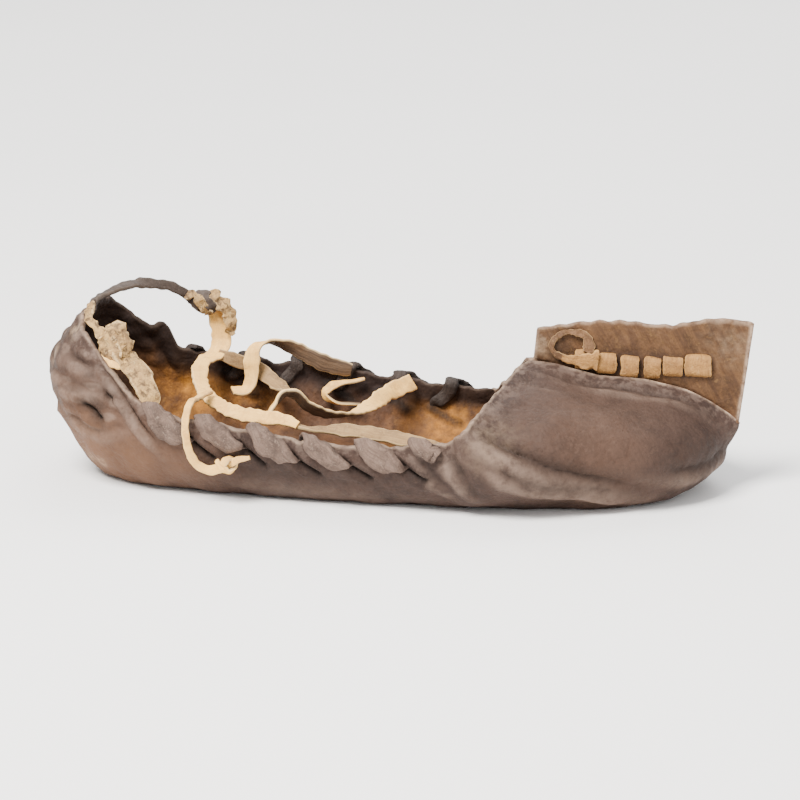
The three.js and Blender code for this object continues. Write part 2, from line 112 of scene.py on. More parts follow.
def times(tree, a, b):
    return mathNode(tree, "MULTIPLY", a, b)


def plus(tree, a, b):
    return mathNode(tree, "ADD", a, b)


def ramp(tree, value, low, high, to=(0.0, 1.0)):
    sockets = {"Value": value, "From Min": low, "From Max": high, "To Min": to[0], "To Max": to[1]}
    return put(tree, "ShaderNodeMapRange", sockets, interpolation_type="SMOOTHSTEP").outputs[0]


def blend(tree, amount, a, b):
    return put(tree, "ShaderNodeMix", {0: amount, 6: a, 7: b}, data_type="RGBA").outputs[2]


# One more colour laid over the last, where its mask says and as strong as its amount.
def over(tree, colour, mask, amount, top):
    return blend(tree, times(tree, mask, amount), colour, top)


def noise(tree, vector, scale, detail=4.0, rough=0.55, twist=0.0):
    sockets = {"Vector": vector, "Scale": scale, "Detail": detail, "Roughness": rough, "Distortion": twist}
    return put(tree, "ShaderNodeTexNoise", sockets).outputs[0]


def attribute(tree, name):
    return put(tree, "ShaderNodeAttribute", attribute_name=name).outputs["Fac"]


# An 8-bit screen colour as a linear one.
def paint(*rgb):
    linear = [c / 12.92 if c <= 0.04045 else ((c + 0.055) / 1.055) ** 2.4 for c in (v / 255 for v in rgb)]
    return (*linear, 1.0)


# Shader groups that several finishes share.
def newGroup(name, inputs, outputs):
    tree = bpy.data.node_groups.new(name, "ShaderNodeTree")
    for label, kind, start in inputs:
        socket = tree.interface.new_socket(name=label, in_out="INPUT", socket_type=kind)
        if start is not None:
            socket.default_value = start
    for label, kind in outputs:
        tree.interface.new_socket(name=label, in_out="OUTPUT", socket_type=kind)
    return tree, tree.nodes.new("NodeGroupInput").outputs, tree.nodes.new("NodeGroupOutput").inputs


def makeStain():
    tree, given, out = newGroup(
        "old stain",
        [
            ("Place", "NodeSocketVector", None),
            ("Base", "NodeSocketColor", None),
            ("Dark", "NodeSocketColor", None),
            ("Pale", "NodeSocketColor", None),
            ("Patch size", "NodeSocketFloat", 40.0),
        ],
        [("Colour", "NodeSocketColor"), ("Patches", "NodeSocketFloat")],
    )
    broad = noise(tree, given["Place"], given["Patch size"], 5.0, 0.6, 0.6)
    finer = noise(tree, given["Place"], times(tree, given["Patch size"], 5.3), 5.0, 0.62, 0.3)
    speck = noise(tree, given["Place"], times(tree, given["Patch size"], 23.0), 4.0, 0.65)
    both = plus(tree, times(tree, broad, 0.55), times(tree, finer, 0.45))
    darker = ramp(tree, both, 0.45, 0.6)
    paler = ramp(tree, plus(tree, finer, times(tree, speck, 0.6)), 0.84, 1.0)
    colour = over(tree, given["Base"], darker, 0.8, given["Dark"])
    colour = over(tree, colour, paler, 0.45, given["Pale"])
    colour = over(tree, colour, ramp(tree, speck, 0.53, 0.68), 0.5, given["Dark"])
    tree.links.new(colour, out["Colour"])
    tree.links.new(both, out["Patches"])
    return tree


def makeGrain():
    tree, given, out = newGroup(
        "hide grain",
        [
            ("Place", "NodeSocketVector", None),
            ("Pore size", "NodeSocketFloat", 700.0),
            ("Wrinkle", "NodeSocketFloat", 0.5),
        ],
        [("Height", "NodeSocketFloat")],
    )
    cells = put(
        tree,
        "ShaderNodeTexVoronoi",
        {"Vector": given["Place"], "Scale": given["Pore size"], "Randomness": 1.0},
        feature="SMOOTH_F1",
    )
    pores = ramp(tree, cells.outputs["Distance"], 0.05, 0.6)
    fine = noise(tree, given["Place"], times(tree, given["Pore size"], 1.9), 5.0, 0.65)
    folds = noise(tree, given["Place"], times(tree, given["Pore size"], 0.16), 5.0, 0.6, 1.2)
    height = plus(tree, times(tree, pores, 0.22), times(tree, fine, 0.3))
    height = plus(tree, height, times(tree, folds, given["Wrinkle"]))
    tree.links.new(height, out["Height"])
    return tree


# Long fibres: streaks that follow the first number of Place and change fast along the second.
def makeFibre():
    tree, given, out = newGroup(
        "fibre streaks",
        [
            ("Place", "NodeSocketVector", None),
            ("Long", "NodeSocketFloat", 40.0),
            ("Across", "NodeSocketFloat", 900.0),
        ],
        [("Streak", "NodeSocketFloat"), ("Height", "NodeSocketFloat")],
    )
    parts = put(tree, "ShaderNodeSeparateXYZ", {0: given["Place"]}).outputs
    sizes = (given["Long"], given["Across"], given["Across"])
    scaled = {k: times(tree, parts[k], size) for k, size in enumerate(sizes)}
    stretched = put(tree, "ShaderNodeCombineXYZ", scaled).outputs[0]
    streak = noise(tree, stretched, 1.0, 5.0, 0.6, 0.4)
    thin = noise(tree, stretched, 3.1, 4.0, 0.6, 0.2)
    tree.links.new(ramp(tree, streak, 0.36, 0.66), out["Streak"])
    height = plus(tree, times(tree, streak, 0.6), times(tree, thin, 0.4))
    tree.links.new(height, out["Height"])
    return tree


stainGroup, grainGroup, fibreGroup = makeStain(), makeGrain(), makeFibre()


def useGroup(tree, group, values):
    return put(tree, "ShaderNodeGroup", values, node_tree=group).outputs


def newFinish(name):
    material = bpy.data.materials.new(name)
    material.use_nodes = True
    tree = material.node_tree
    shader = tree.nodes["Principled BSDF"]
    place = put(tree, "ShaderNodeTexCoord").outputs["Object"]
    return material, tree, shader, place


def bumpInto(tree, shader, height, strength, distance):
    sockets = {"Strength": strength, "Distance": distance, "Height": height}
    tree.links.new(put(tree, "ShaderNodeBump", sockets).outputs[0], shader.inputs["Normal"])


# Strips of leather: run is the way along in millimetres, across -1 to 1, rise is over 0 on the smooth side.
plainStrip = {
    "streaks": 0.6,
    "edges": 0.4,
    "dirt": 0.6,
    "dirtFrom": 0.56,
    "dirtScale": 260.0,
    "rough": (0.62, 0.85),
    "bump": 0.4,
}


# Colours: base, dark, pale and streaks of the smooth side, then the rough side, darkened as painted shade of
# the strip's underside, its streaks, edges and dirt.
def stripFinish(name, smoothSide, otherPlaces, changes):
    look = {**plainStrip, **changes}
    base, dark, pale, streak = (paint(*rgb) for rgb in smoothSide)
    under, underStreak, edge, dirt = (paint(*rgb) for rgb in otherPlaces)
    material, tree, shader, place = newFinish(name)
    run = times(tree, attribute(tree, "run"), mm)
    across = times(tree, attribute(tree, "across"), 2.4 * mm)
    rise = times(tree, attribute(tree, "rise"), 0.7 * mm)
    along = put(tree, "ShaderNodeCombineXYZ", {0: run, 1: across, 2: rise}).outputs[0]
    stainSockets = {"Place": place, "Base": base, "Dark": dark, "Pale": pale, "Patch size": 95.0}
    stain = useGroup(tree, stainGroup, stainSockets)
    fibre = useGroup(tree, fibreGroup, {"Place": along, "Long": 110.0, "Across": 2100.0})
    colour = over(tree, stain["Colour"], fibre["Streak"], look["streaks"], streak)
    # the strip's back: its rough side, made darker as painted shade of the underside
    roughSideAndShade = ramp(tree, attribute(tree, "rise"), 0.1, -0.35)
    colour = blend(tree, roughSideAndShade, colour, blend(tree, fibre["Streak"], under, underStreak))
    cut = ramp(tree, mathNode(tree, "ABSOLUTE", attribute(tree, "across")), 0.8, 0.98)
    colour = over(tree, colour, cut, look["edges"], edge)
    spots = noise(tree, place, look["dirtScale"], 5.0, 0.65, 0.5)
    soiled = ramp(tree, spots, look["dirtFrom"], look["dirtFrom"] + 0.18)
    colour = over(tree, colour, soiled, look["dirt"], dirt)
    tree.links.new(colour, shader.inputs["Base Color"])
    tree.links.new(ramp(tree, fibre["Height"], 0.3, 0.7, look["rough"]), shader.inputs["Roughness"])
    grain = useGroup(tree, grainGroup, {"Place": place, "Pore size": 1300.0, "Wrinkle": 0.9})
    height = plus(tree, grain["Height"], times(tree, fibre["Height"], 0.8))
    bumpInto(tree, shader, height, look["bump"], 0.5 * mm)
    shader.inputs["Specular IOR Level"].default_value = 0.35
    return material


creamFinish = stripFinish(
    "cream lace leather",
    [(250, 198, 110), (204, 150, 80), (252, 218, 146), (222, 168, 92)],
    [(104, 82, 62), (70, 53, 39), (246, 214, 160), (120, 84, 52)],
    {"streaks": 0.45, "dirt": 0.35},
)
# the cream lace leather made darker, as painted shade, for the strands along the near rim and across the
# inside, which lie in shadow
shadedLaceFinish = stripFinish(
    "lace leather in painted shade",
    [(154, 122, 80), (104, 79, 52), (200, 168, 118), (122, 94, 62)],
    [(108, 86, 64), (78, 60, 44), (218, 186, 136), (70, 52, 38)],
    {"edges": 0.45, "dirt": 0.55},
)
darkFinish = stripFinish(
    "dark thong leather",
    [(74, 62, 55), (48, 38, 32), (108, 94, 84), (56, 45, 38)],
    [(60, 47, 38), (44, 34, 28), (112, 98, 86), (36, 28, 24)],
    {"streaks": 0.5, "dirt": 0.4},
)
rimFinish = stripFinish(
    "rim thong hide",
    [(112, 91, 79), (64, 50, 43), (162, 138, 121), (80, 63, 54)],
    [(58, 44, 36), (42, 32, 26), (62, 48, 41), (40, 30, 25)],
    {"rough": (0.7, 0.9), "bump": 0.9},
)
# the rim thong hide made darker, as painted shade, for the far rim, which lies in shadow
shadedRimFinish = stripFinish(
    "rim thong hide in painted shade",
    [(58, 47, 41), (36, 28, 24), (86, 73, 65), (42, 33, 28)],
    [(40, 31, 26), (30, 23, 19), (38, 30, 26), (26, 20, 17)],
    {"edges": 0.5, "rough": (0.6, 0.85), "bump": 0.9},
)
toeFinish = stripFinish(
    "toe thong rawhide",
    [(164, 119, 64), (112, 76, 42), (206, 164, 104), (134, 94, 52)],
    [(104, 73, 46), (78, 55, 36), (196, 154, 98), (64, 42, 27)],
    {"streaks": 0.7, "edges": 0.35, "dirt": 0.75, "rough": (0.6, 0.85), "bump": 0.8},
)
loopFinish = stripFinish(
    "toe loop rawhide",
    [(116, 83, 53), (74, 51, 33), (168, 130, 84), (92, 65, 42)],
    [(92, 65, 42), (66, 46, 31), (186, 150, 102), (52, 35, 24)],
    {"edges": 0.55, "dirt": 0.7, "rough": (0.6, 0.85), "bump": 0.8},
)
mottledFinish = stripFinish(
    "mottled strap leather",
    [(190, 152, 94), (102, 76, 47), (242, 208, 144), (146, 113, 77)],
    [(140, 108, 76), (100, 75, 54), (238, 206, 154), (66, 48, 35)],
    {"dirt": 0.85, "dirtFrom": 0.47, "dirtScale": 430.0, "bump": 1.0},
)
print("strip finishes made")


# A route's rows, smoothed through their points and spaced evenly; further columns go with them.
def smoothRoute(rows, step):
    rows = np.array(rows, float)
    rows = np.vstack([2 * rows[0] - rows[1], rows, 2 * rows[-1] - rows[-2]])
    gaps = np.sqrt(np.linalg.norm(np.diff(rows[:, :3], axis=0), axis=1))
    knots = np.concatenate([[0.0], np.cumsum(np.maximum(gaps, 1e-4))])
    pieces = []
    for i in range(1, len(rows) - 2):
        t = np.linspace(knots[i], knots[i + 1], 40, endpoint=False)[:, None]
        k0, k1, k2, k3 = knots[i - 1 : i + 3]
        p0, p1, p2, p3 = rows[i - 1 : i + 3]
        a1 = ((k1 - t) * p0 + (t - k0) * p1) / (k1 - k0)
        a2 = ((k2 - t) * p1 + (t - k1) * p2) / (k2 - k1)
        a3 = ((k3 - t) * p2 + (t - k2) * p3) / (k3 - k2)
        b1 = ((k2 - t) * a1 + (t - k0) * a2) / (k2 - k0)
        b2 = ((k3 - t) * a2 + (t - k1) * a3) / (k3 - k1)
        pieces.append(((k2 - t) * b1 + (t - k1) * b2) / (k2 - k1))
    dense = np.vstack(pieces + [rows[-2:-1]])
    run = wayAlong(dense[:, :3])
    even = np.linspace(0, run[-1], max(8, int(run[-1] / step)))
    return np.stack([np.interp(even, run, dense[:, k]) for k in range(dense.shape[1])], axis=1), even


# Geometry Nodes: a flat strip of leather swept along a line of points, each with its own face and size.
def makeStripTree():
    tree = bpy.data.node_groups.new("flat leather strip", "GeometryNodeTree")
    sockets = {}
    for label, kind, start in [
        ("Line", "NodeSocketGeometry", None),
        ("Section points", "NodeSocketInt", 18),
        ("Squareness", "NodeSocketFloat", 0.5),
        ("Cupping", "NodeSocketFloat", 0.15),
        ("Edge waver", "NodeSocketFloat", 0.06),
        ("Waver size", "NodeSocketFloat", 260.0),
        ("Seed", "NodeSocketFloat", 0.0),
        ("Leather", "NodeSocketMaterial", None),
    ]:
        socket = tree.interface.new_socket(name=label, in_out="INPUT", socket_type=kind)
        if start is not None:
            socket.default_value = start
        sockets[label] = socket.identifier
    tree.interface.new_socket(name="Strip", in_out="OUTPUT", socket_type="NodeSocketGeometry")
    given = tree.nodes.new("NodeGroupInput").outputs
    out = tree.nodes.new("NodeGroupOutput").inputs

    def named(name, kind="FLOAT"):
        return put(tree, "GeometryNodeInputNamedAttribute", {"Name": name}, data_type=kind).outputs[0]

    def store(geometry, name, value):
        values = {"Geometry": geometry, "Name": name, "Value": value}
        kind = {"data_type": "FLOAT", "domain": "POINT"}
        return put(tree, "GeometryNodeStoreNamedAttribute", values, **kind).outputs[0]

    def squared(value):
        size = mathNode(tree, "POWER", mathNode(tree, "ABSOLUTE", value), given["Squareness"])
        return times(tree, mathNode(tree, "SIGN", value), size)

    def scaled(vector, amount):
        node = put(tree, "ShaderNodeVectorMath", {0: vector}, operation="SCALE")
        tree.links.new(amount, node.inputs["Scale"])
        return node.outputs[0]

    def added(a, b):
        return put(tree, "ShaderNodeVectorMath", {0: a, 1: b}, operation="ADD").outputs[0]

    line = put(tree, "GeometryNodeMeshToCurve", {"Mesh": given["Line"]}).outputs[0]
    ringSize = {"Resolution": given["Section points"], "Radius": 1.0}
    ring = put(tree, "GeometryNodeCurvePrimitiveCircle", ringSize).outputs[0]
    spot = put(tree, "GeometryNodeInputPosition").outputs[0]
    spot = put(tree, "ShaderNodeSeparateXYZ", {0: spot}).outputs
    section = store(ring, "across", squared(spot[0]))
    section = store(section, "rise", squared(spot[1]))
    sweep = {"Curve": line, "Profile Curve": section, "Fill Caps": True}
    swept = put(tree, "GeometryNodeCurveToMesh", sweep).outputs[0]
    centre, acrossWay = named("centre", "FLOAT_VECTOR"), named("acrossWay", "FLOAT_VECTOR")
    across = named("across")
    seeded = put(tree, "ShaderNodeCombineXYZ", {k: given["Seed"] for k in range(3)}).outputs[0]
    shifted = added(added(centre, seeded), scaled(acrossWay, times(tree, across, 4 * mm)))
    waver = noise(tree, shifted, given["Waver size"], 2.0, 0.5)
    waver = times(tree, mathNode(tree, "SUBTRACT", waver, 0.5), given["Edge waver"])
    wide = times(tree, named("halfWide"), plus(tree, 1.0, times(tree, waver, 4.0)))
    cup = times(tree, times(tree, across, across), given["Cupping"])
    lift = plus(tree, cup, times(tree, waver, 2.5))
    high = times(tree, plus(tree, named("rise"), lift), named("halfThick"))
    sideways = scaled(acrossWay, times(tree, across, wide))
    outward = scaled(named("faceWay", "FLOAT_VECTOR"), high)
    placed = added(centre, added(sideways, outward))
    moved = put(tree, "GeometryNodeSetPosition", {"Geometry": swept, "Position": placed}).outputs[0]
    soft = put(tree, "GeometryNodeSetShadeSmooth", {"Geometry": moved}).outputs[0]
    real = put(tree, "GeometryNodeRealizeInstances", {"Geometry": soft}).outputs[0]
    dress = {"Geometry": real, "Material": given["Leather"]}
    dressed = put(tree, "GeometryNodeSetMaterial", dress).outputs[0]
    tree.links.new(dressed, out[0])
    return tree, sockets


stripTree, stripSockets = makeStripTree()


def setValues(mesh, name, values, kind="FLOAT"):
    layer = mesh.attributes.new(name, kind, "POINT")
    field = "vector" if kind == "FLOAT_VECTOR" else "value"
    layer.data.foreach_set(field, np.ascontiguousarray(values, dtype=np.float32).ravel())


def meshPoints(mesh):
    points = np.empty(len(mesh.vertices) * 3, np.float32)
    mesh.vertices.foreach_get("co", points)
    return points.reshape(-1, 3)


def outwardVolume(mesh):
    points = meshPoints(mesh).astype(float)
    mesh.calc_loop_triangles()
    tris = np.empty(len(mesh.loop_triangles) * 3, np.int32)
    mesh.loop_triangles.foreach_get("vertices", tris)
    a, b, c = (points[tris.reshape(-1, 3)[:, k]] for k in range(3))
    return np.sum(np.cross(a, b) * c) / 6


# A strip's mesh: centre points, the way its smooth side looks, widths and thicknesses, all in millimetres.
def stripPiece(name, centre, face, wide, thick, leather, seed, options=None):
    run = wayAlong(centre)
    ahead = unit(np.gradient(centre, axis=0))
    across = unit(np.cross(ahead, face))
    face = np.cross(across, ahead)
    count = len(centre)
    mesh = bpy.data.meshes.new(name + "_line")
    mesh.from_pydata(centre * mm, [(i, i + 1) for i in range(count - 1)], [])
    setValues(mesh, "centre", centre * mm, "FLOAT_VECTOR")
    setValues(mesh, "acrossWay", across, "FLOAT_VECTOR")
    setValues(mesh, "faceWay", face, "FLOAT_VECTOR")
    setValues(mesh, "halfWide", np.broadcast_to(wide, (count,)) * 0.5 * mm)
    setValues(mesh, "halfThick", np.broadcast_to(thick, (count,)) * 0.5 * mm)
    setValues(mesh, "run", run)
    line = newObject(name + "_line", mesh)
    modifier = line.modifiers.new("strip", "NODES")
    modifier.node_group = stripTree
    for label, value in {"Seed": float(seed), "Leather": leather, **(options or {})}.items():
        modifier[stripSockets[label]] = value
    evaluated = line.evaluated_get(bpy.context.evaluated_depsgraph_get())
    made = bpy.data.meshes.new_from_object(evaluated)
    made.name = name
    for spare in ("centre", "acrossWay", "faceWay", "halfWide", "halfThick"):
        if spare in made.attributes:
            made.attributes.remove(made.attributes[spare])
    bpy.data.objects.remove(line)
    if outwardVolume(made) < 0:
        made.flip_normals()
    return newObject(name, made)


# Small lumps pressed into a strip that has been tied and pulled.
def crumple(piece, amount, size, seed):
    spots = meshPoints(piece.data) / mm
    push = np.stack([lumps(spots, size, seed + k) for k in range(3)], axis=1) * amount
    piece.data.vertices.foreach_set("co", ((spots + push) * mm).astype(np.float32).ravel())
    piece.data.update()


# Laces. A route row is x, y, z, then the way the smooth side looks, then the width's share.
laceLook = {"step": 0.8, "crumple": 0.15, "lumpSize": 6.0}
laces = {
    "rear_lace": {
        "stands": ["lace_crossings"],
        "finish": creamFinish,
        "wide": 5.8,
        "thick": 1.6,
        "seed": 1,
        "route": [
            (-77.6, 40.4, 50.4, 0.3, -1, 0.2, 0.9),
            (-75.6, 40.6, 46, 0.3, -1, 0.2, 1.2),
            (-74.3, 39.5, 39, 0.1, -1, 0.3, 1.3),
            (-76, 36.5, 34.5, 0.0, -0.8, 0.8, 1.2),
            (-79.5, 29, 33, -0.1, -0.6, 1, 1.05),
            (-78.5, 16, 31.2, 0.5, -0.4, 1, 1.1),
            (-73.5, 0, 29, 0.4, -0.6, 1, 1.1),
            (-65.5, -14, 28.4, 0.3, -0.8, 0.9, 1.05),
            (-57, -24, 28.4, 0.2, -1, 0.8, 1.0),
            (-46.5, -32, 29.4, 0.1, -1, 0.8, 0.95),
            (-37, -37, 30.2, 0, -1, 0.8, 0.8),
            (-32, -38.8, 28.8, 0, -1, 0.8, 0.5),
        ],
    },
    "front_lace": {
        "stands": ["lace_crossings"],
        "finish": creamFinish,
        "wide": 5.2,
        "thick": 1.5,
        "seed": 2,
        "route": [
            (-1.6, 45.4, 23.6, 0.5, -0.4, 0.5, 1.3),
            (-9, 34, 22.4, 0.7, -0.2, 0.6, 1.25),
            (-13.4, 18, 21.6, 0.5, -0.1, 0.8, 1.1),
            (-18, 3, 22.2, 0, 0.5, 1, 1.0),
            (-25, -8, 24.6, 0, 0.9, 0.6, 0.95),
            (-32, -16, 29.8, 0.3, 1, 0.1, 0.95),
            (-36, -19, 35, 0.3, 1, 0.3, 0.9),
            (-39.5, -22, 36, 0.2, 0.9, 0.6, 0.9),
            (-43, -27, 32.5, -0.4, 0.5, 0.8, 0.9),
            (-44.5, -31.5, 29.6, -0.6, 0.2, 0.8, 0.8),
        ],
    },
    "near_rim_lace": {
        "stands": ["lace_crossings"],
        "finish": shadedLaceFinish,
        "wide": 5.2,
        "thick": 1.6,
        "seed": 3,
        "route": [
            (-36, -37.2, 29.4, 0, -0.2, 1, 0.5),
            (-29, -38.4, 27.6, 0, 0, 1, 0.45),
            (-22, -38.2, 27.4, 0, -0.4, 1, 0.75),
            (-16, -38, 27.4, 0, -0.7, 1, 1.05),
            (-8, -38, 26.8, 0, -0.8, 1, 1.1),
            (2, -39.5, 26, 0, -0.8, 1, 1.1),
            (13, -43, 25.2, 0, -0.7, 1, 1.0),
            (21, -46.3, 24.4, 0, -0.6, 1, 0.85),
        ],
    },
    "middle_lace": {
        "stands": ["lace_crossings"],
        "finish": shadedLaceFinish,
        "wide": 5.0,
        "thick": 1.5,
        "seed": 4,
        "route": [
            (-75, 36.4, 34.2, 0.1, -1, 0.4, 0.9),
            (-71, 36.6, 33, 0.1, -1, 0.4, 1.0),
            (-66, 38.4, 30.8, 0, -1, 0.4, 1.05),
            (-61.5, 40, 28.6, 0.1, -1, 0.4, 1.1),
            (-56.5, 37.4, 26.2, 0.3, -1, 0.5, 1.15),
            (-51, 32, 23.8, 0.4, -0.9, 0.6, 1.15),
            (-46.5, 24, 23.4, 0.6, -0.5, 0.8, 1.05),
            (-42, 10, 26, 0.5, -0.1, 1, 1.0),
            (-38.5, -6, 31.2, 0.3, 0, 1, 0.9),
            (-36.5, -17, 33.4, 0.2, 0, 1, 0.8),
        ],
    },
    "standing_lace": {
        "stands": ["standing_strap"],
        "finish": creamFinish,
        "wide": 5.8,
        "thick": 1.5,
        "seed": 5,
        "route": [
            (-69, 31, 21.5, 0.2, -0.4, 1, 0.8),
            (-64, 33.6, 21.4, -0.3, -0.6, 1, 0.95),
            (-62, 34.8, 25.5, -0.4, -1, 0.2, 1.0),
            (-62, 35.6, 32, -0.1, -1, 0.1, 1.05),
            (-61, 37.6, 37, -0.4, -0.6, 0.8, 1.0),
            (-56.5, 42, 38.4, -0.2, 0.4, 1, 0.85),
            (-50, 44.2, 36.6, 0, 1, 0.6, 1.0),
            (-43, 44.2, 33.6, 0, 1, 0.2, 1.15),
            (-36, 43.4, 30.6, 0, 1, 0.1, 1.2),
            (-30, 43.8, 28.8, 0, 1, 0, 1.1),
            (-25, 44.6, 27.8, 0, 1, 0, 0.8),
        ],
    },
    "small_lace_loop": {
        "stands": ["far_lace_loop"],
        "finish": creamFinish,
        "wide": 2.8,
        "thick": 1.3,
        "seed": 6,
        "route": [
            (-20, 45.4, 24, 0, 0, 1, 0.7),
            (-27, 42.4, 23.2, -0.2, -0.4, 1, 0.9),
            (-33, 41.2, 21.4, -0.7, -1, 0.3, 1.15),
            (-34.6, 40.2, 18.6, -0.6, -1, 0, 1.1),
            (-31, 39.4, 16.4, 0, -0.5, -0.8, 0.8),
            (-21, 40.8, 15.4, 0, 0, -1, 0.6),
        ],
    },
    "hanging_lace": {
        "farEnd": "bare",
        "stands": ["hanging_loop"],
        "finish": creamFinish,
        "wide": 2.7,
        "thick": 1.6,
        "seed": 7,
        "route": [
            (-70.5, -7.5, 31.4, 0, 0, 1, 1.0),
            (-71, -25, 34, 0, 0, 1, 0.95),
            (-71.5, -43, 35.8, 0, -0.3, 1, 0.95),
            (-71.6, -50.2, 30, 0.3, -1, 0.2, 0.95),
            (-70.6, -49.6, 21, 0.4, -1, 0, 1.0),
            (-68.2, -47.6, 15.3, 0.2, -1, 0.3, 1.15),
            (-63.5, -46.2, 12.8, 0, -1, 0.4, 1.35),
            (-58.8, -47.4, 14.2, -0.2, -1, 0.3, 1.2),
            (-53, -48.6, 17.6, 0, -1, 0.3, 0.9),
            (-48, -49.4, 19, 0, -1, 0.4, 0.55),
        ],
    },
    "ankle_strip": {
        "slot": "dark_thong",
        "stands": ["ankle_thong"],
        "finish": darkFinish,
        "wide": 3.9,
        "thick": 2.0,
        "seed": 8,
        "route": [
            (-114.1, -6, 63.7, -0.5, 0, 1, 0.8),
            (-113.6, 0, 64, -0.5, -0.1, 1, 1.0),
            (-111.6, 6, 64.2, -0.4, -0.3, 1, 1.1),
            (-107.5, 13.5, 65, -0.2, -0.6, 0.9, 1.1),
            (-101, 25, 64, 0, -0.9, 0.6, 1.05),
            (-91, 33.5, 60.5, 0.1, -1, 0.4, 1.0),
            (-84.6, 38.4, 54.8, 0.2, -1, 0.3, 0.95),
        ],
    },
    "near_ankle_lace": {
        "stands": ["ankle_thong", "near_ankle_strap"],
        "finish": mottledFinish,
        "wide": 5.2,
        "thick": 1.7,
        "crumple": 0.5,
        "seed": 9,
        "route": [
            (-114.3, -8, 63.4, -0.4, -0.3, 1, 0.55),
            (-114, -12.5, 62.9, -0.5, -0.5, 0.8, 0.65),
            (-112.8, -19.4, 61.6, -0.4, -0.7, 0.6, 0.65),
            (-109.8, -24.4, 59.2, -0.2, -0.9, 0.4, 0.7),
            (-105.8, -27, 56.2, 0.2, -0.9, 0.4, 0.85),
            (-102.4, -27.8, 53.4, 0.5, -0.6, 0.6, 0.9),
            (-99.6, -28.4, 51, 0.5, -0.6, 0.6, 1.35),
            (-96, -30.2, 48.2, 0.4, -0.8, 0.5, 1.6),
            (-92.5, -32, 45, 0.4, -0.9, 0.4, 1.65),
            (-88, -36, 38.5, 0.3, -1, 0.3, 1.45),
            (-85, -38.4, 31, 0.2, -1, 0.2, 1.0),
            (-84.4, -38.8, 27, 0.2, -1, 0.1, 0.5),
        ],
    },
}


def layLace(name, lace):
    rows, run = smoothRoute(lace["route"], laceLook["step"])
    centre, face, share = rows[:, :3], unit(rows[:, 3:6]), rows[:, 6]
    wobble = 1 + 0.05 * np.sin(run * 0.55 + lace["seed"]) + 0.04 * np.sin(run * 1.3 + 2 * lace["seed"])
    wide = lace["wide"] * share * wobble
    piece = stripPiece(name, centre, face, wide, lace["thick"], lace["finish"], 3.7 * lace["seed"])
    crumple(piece, lace.get("crumple", laceLook["crumple"]), laceLook["lumpSize"], lace["seed"])
    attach(piece, "root")
    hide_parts(*lace["stands"])


for laceName, laceRow in laces.items():
    layLace(laceName, laceRow)
print("laces laid:", len(laces))


# The folded hide. Ribs run from the heel's middle to the stem at the toe: the sole's outline, the wall's
# widest place and the edge, with how wide the fold is and how steep the rib stands at the wall and the edge.
# farDrop is how much lower the edge is on the far side.
ribColumns = "soleX soleY fold wallX wallY wallZ wallRise edgeX edgeY edgeZ edgeRise farDrop".split()
ribRows = np.array(
    [
        (-113, 0, 0.15, -129.5, 0, 39, 87, -116, 0, 61, 62, 0),
        (-112, 9, 0.15, -128.5, 13, 39, 87, -116, 14, 61, 62, 0),
        (-106, 18, 0.2, -121, 28, 35, 87, -113, 25, 57, 67, 0),
        (-95, 23, 0.45, -106, 37, 28, 87, -103, 32.5, 46.5, 74, 0),
        (-80, 26.5, 0.75, -86, 41.5, 21, 84, -86, 41, 33.5, 88, 0),
        (-50, 32, 0.8, -50, 45, 17, 78, -50, 47, 29, 84, 0),
        (-15, 35.5, 0.75, -15, 48, 14.5, 76, -15, 49.5, 25, 86, 0.3),
        (20, 36, 0.7, 22, 51, 14.5, 80, 22, 50, 27.2, 94, 6.7),
        (31, 36.5, 0.65, 34, 55, 16, 86, 29, 53.6, 32, 78, 12.2),
        (42, 36, 0.6, 47, 55, 18, 90, 34, 44.5, 36, 45, 10.8),
        (52, 35, 0.6, 57.5, 53, 18.5, 90, 41.5, 23, 42.6, 27, 6.6),
        (62, 34, 0.6, 68, 49.5, 19, 90, 50, 0, 46, 24, 0),
        (78, 31.5, 0.6, 86, 43, 19, 90, 72, 0, 41.5, 30, 0),
        (92, 28, 0.65, 103, 33.5, 18.5, 90, 96, 0, 39.5, 36, 0),
        (102, 22, 0.7, 114.8, 20, 17, 88, 111, 0, 35, 48, 0),
        (106, 0, 0.7, 120, 0, 13, 80, 125.4, 0, 26, 80, 0),
    ],
    float,
)
# the fin's top, from the throat to the stem: x, z, lean
finRows = np.array([(51, 57.5, 2.2), (74, 61, 2.8), (98, 60.5, 2.0), (115, 63.5, 1.6), (130, 62.5, 1.0)])
hideForm = {
    "half": 1.1,  # half the hide's thickness
    "toeLift": (76, 30, 2.4),  # where the sole begins to rise, over what length, how high
    "heelLift": (-94, 19, 1.4),
    "knee": 0.95,  # how full the curve is below the wall's widest place, and above it
    "round": 1.17,
    "ridge": {near: -1.9, far: 1.3},  # y of each wing's edge along the ridge
    "spine": (-90, 86),  # the ends of the sole's middle line
}
throatTop, stem = 11, len(ribRows) - 1  # ribs


def throughFour(p0, p1, p2, p3, t):
    return p1 + 0.5 * t * (p2 - p0 + t * (2 * p0 - 5 * p1 + 4 * p2 - p3 + t * (3 * (p1 - p2) + p3 - p0)))


def ribAt(a):
    mirror = np.array([-1.0 if key.endswith("Y") else 1.0 for key in ribColumns])
    rows = np.vstack([ribRows[1] * mirror, ribRows, ribRows[-2] * mirror])
    i = np.clip(np.floor(a).astype(int), 0, stem - 1)
    t = (a - i)[:, None]
    made = throughFour(rows[i], rows[i + 1], rows[i + 2], rows[i + 3], t)
    return {key: made[:, k] for k, key in enumerate(ribColumns)}


def soleLift(x):
    lift = 0
    for (start, length, height), way in ((hideForm["toeLift"], 1), (hideForm["heelLift"], -1)):
        lift = lift + height * np.clip(way * (x - start) / length, 0, 1) ** 2
    return lift


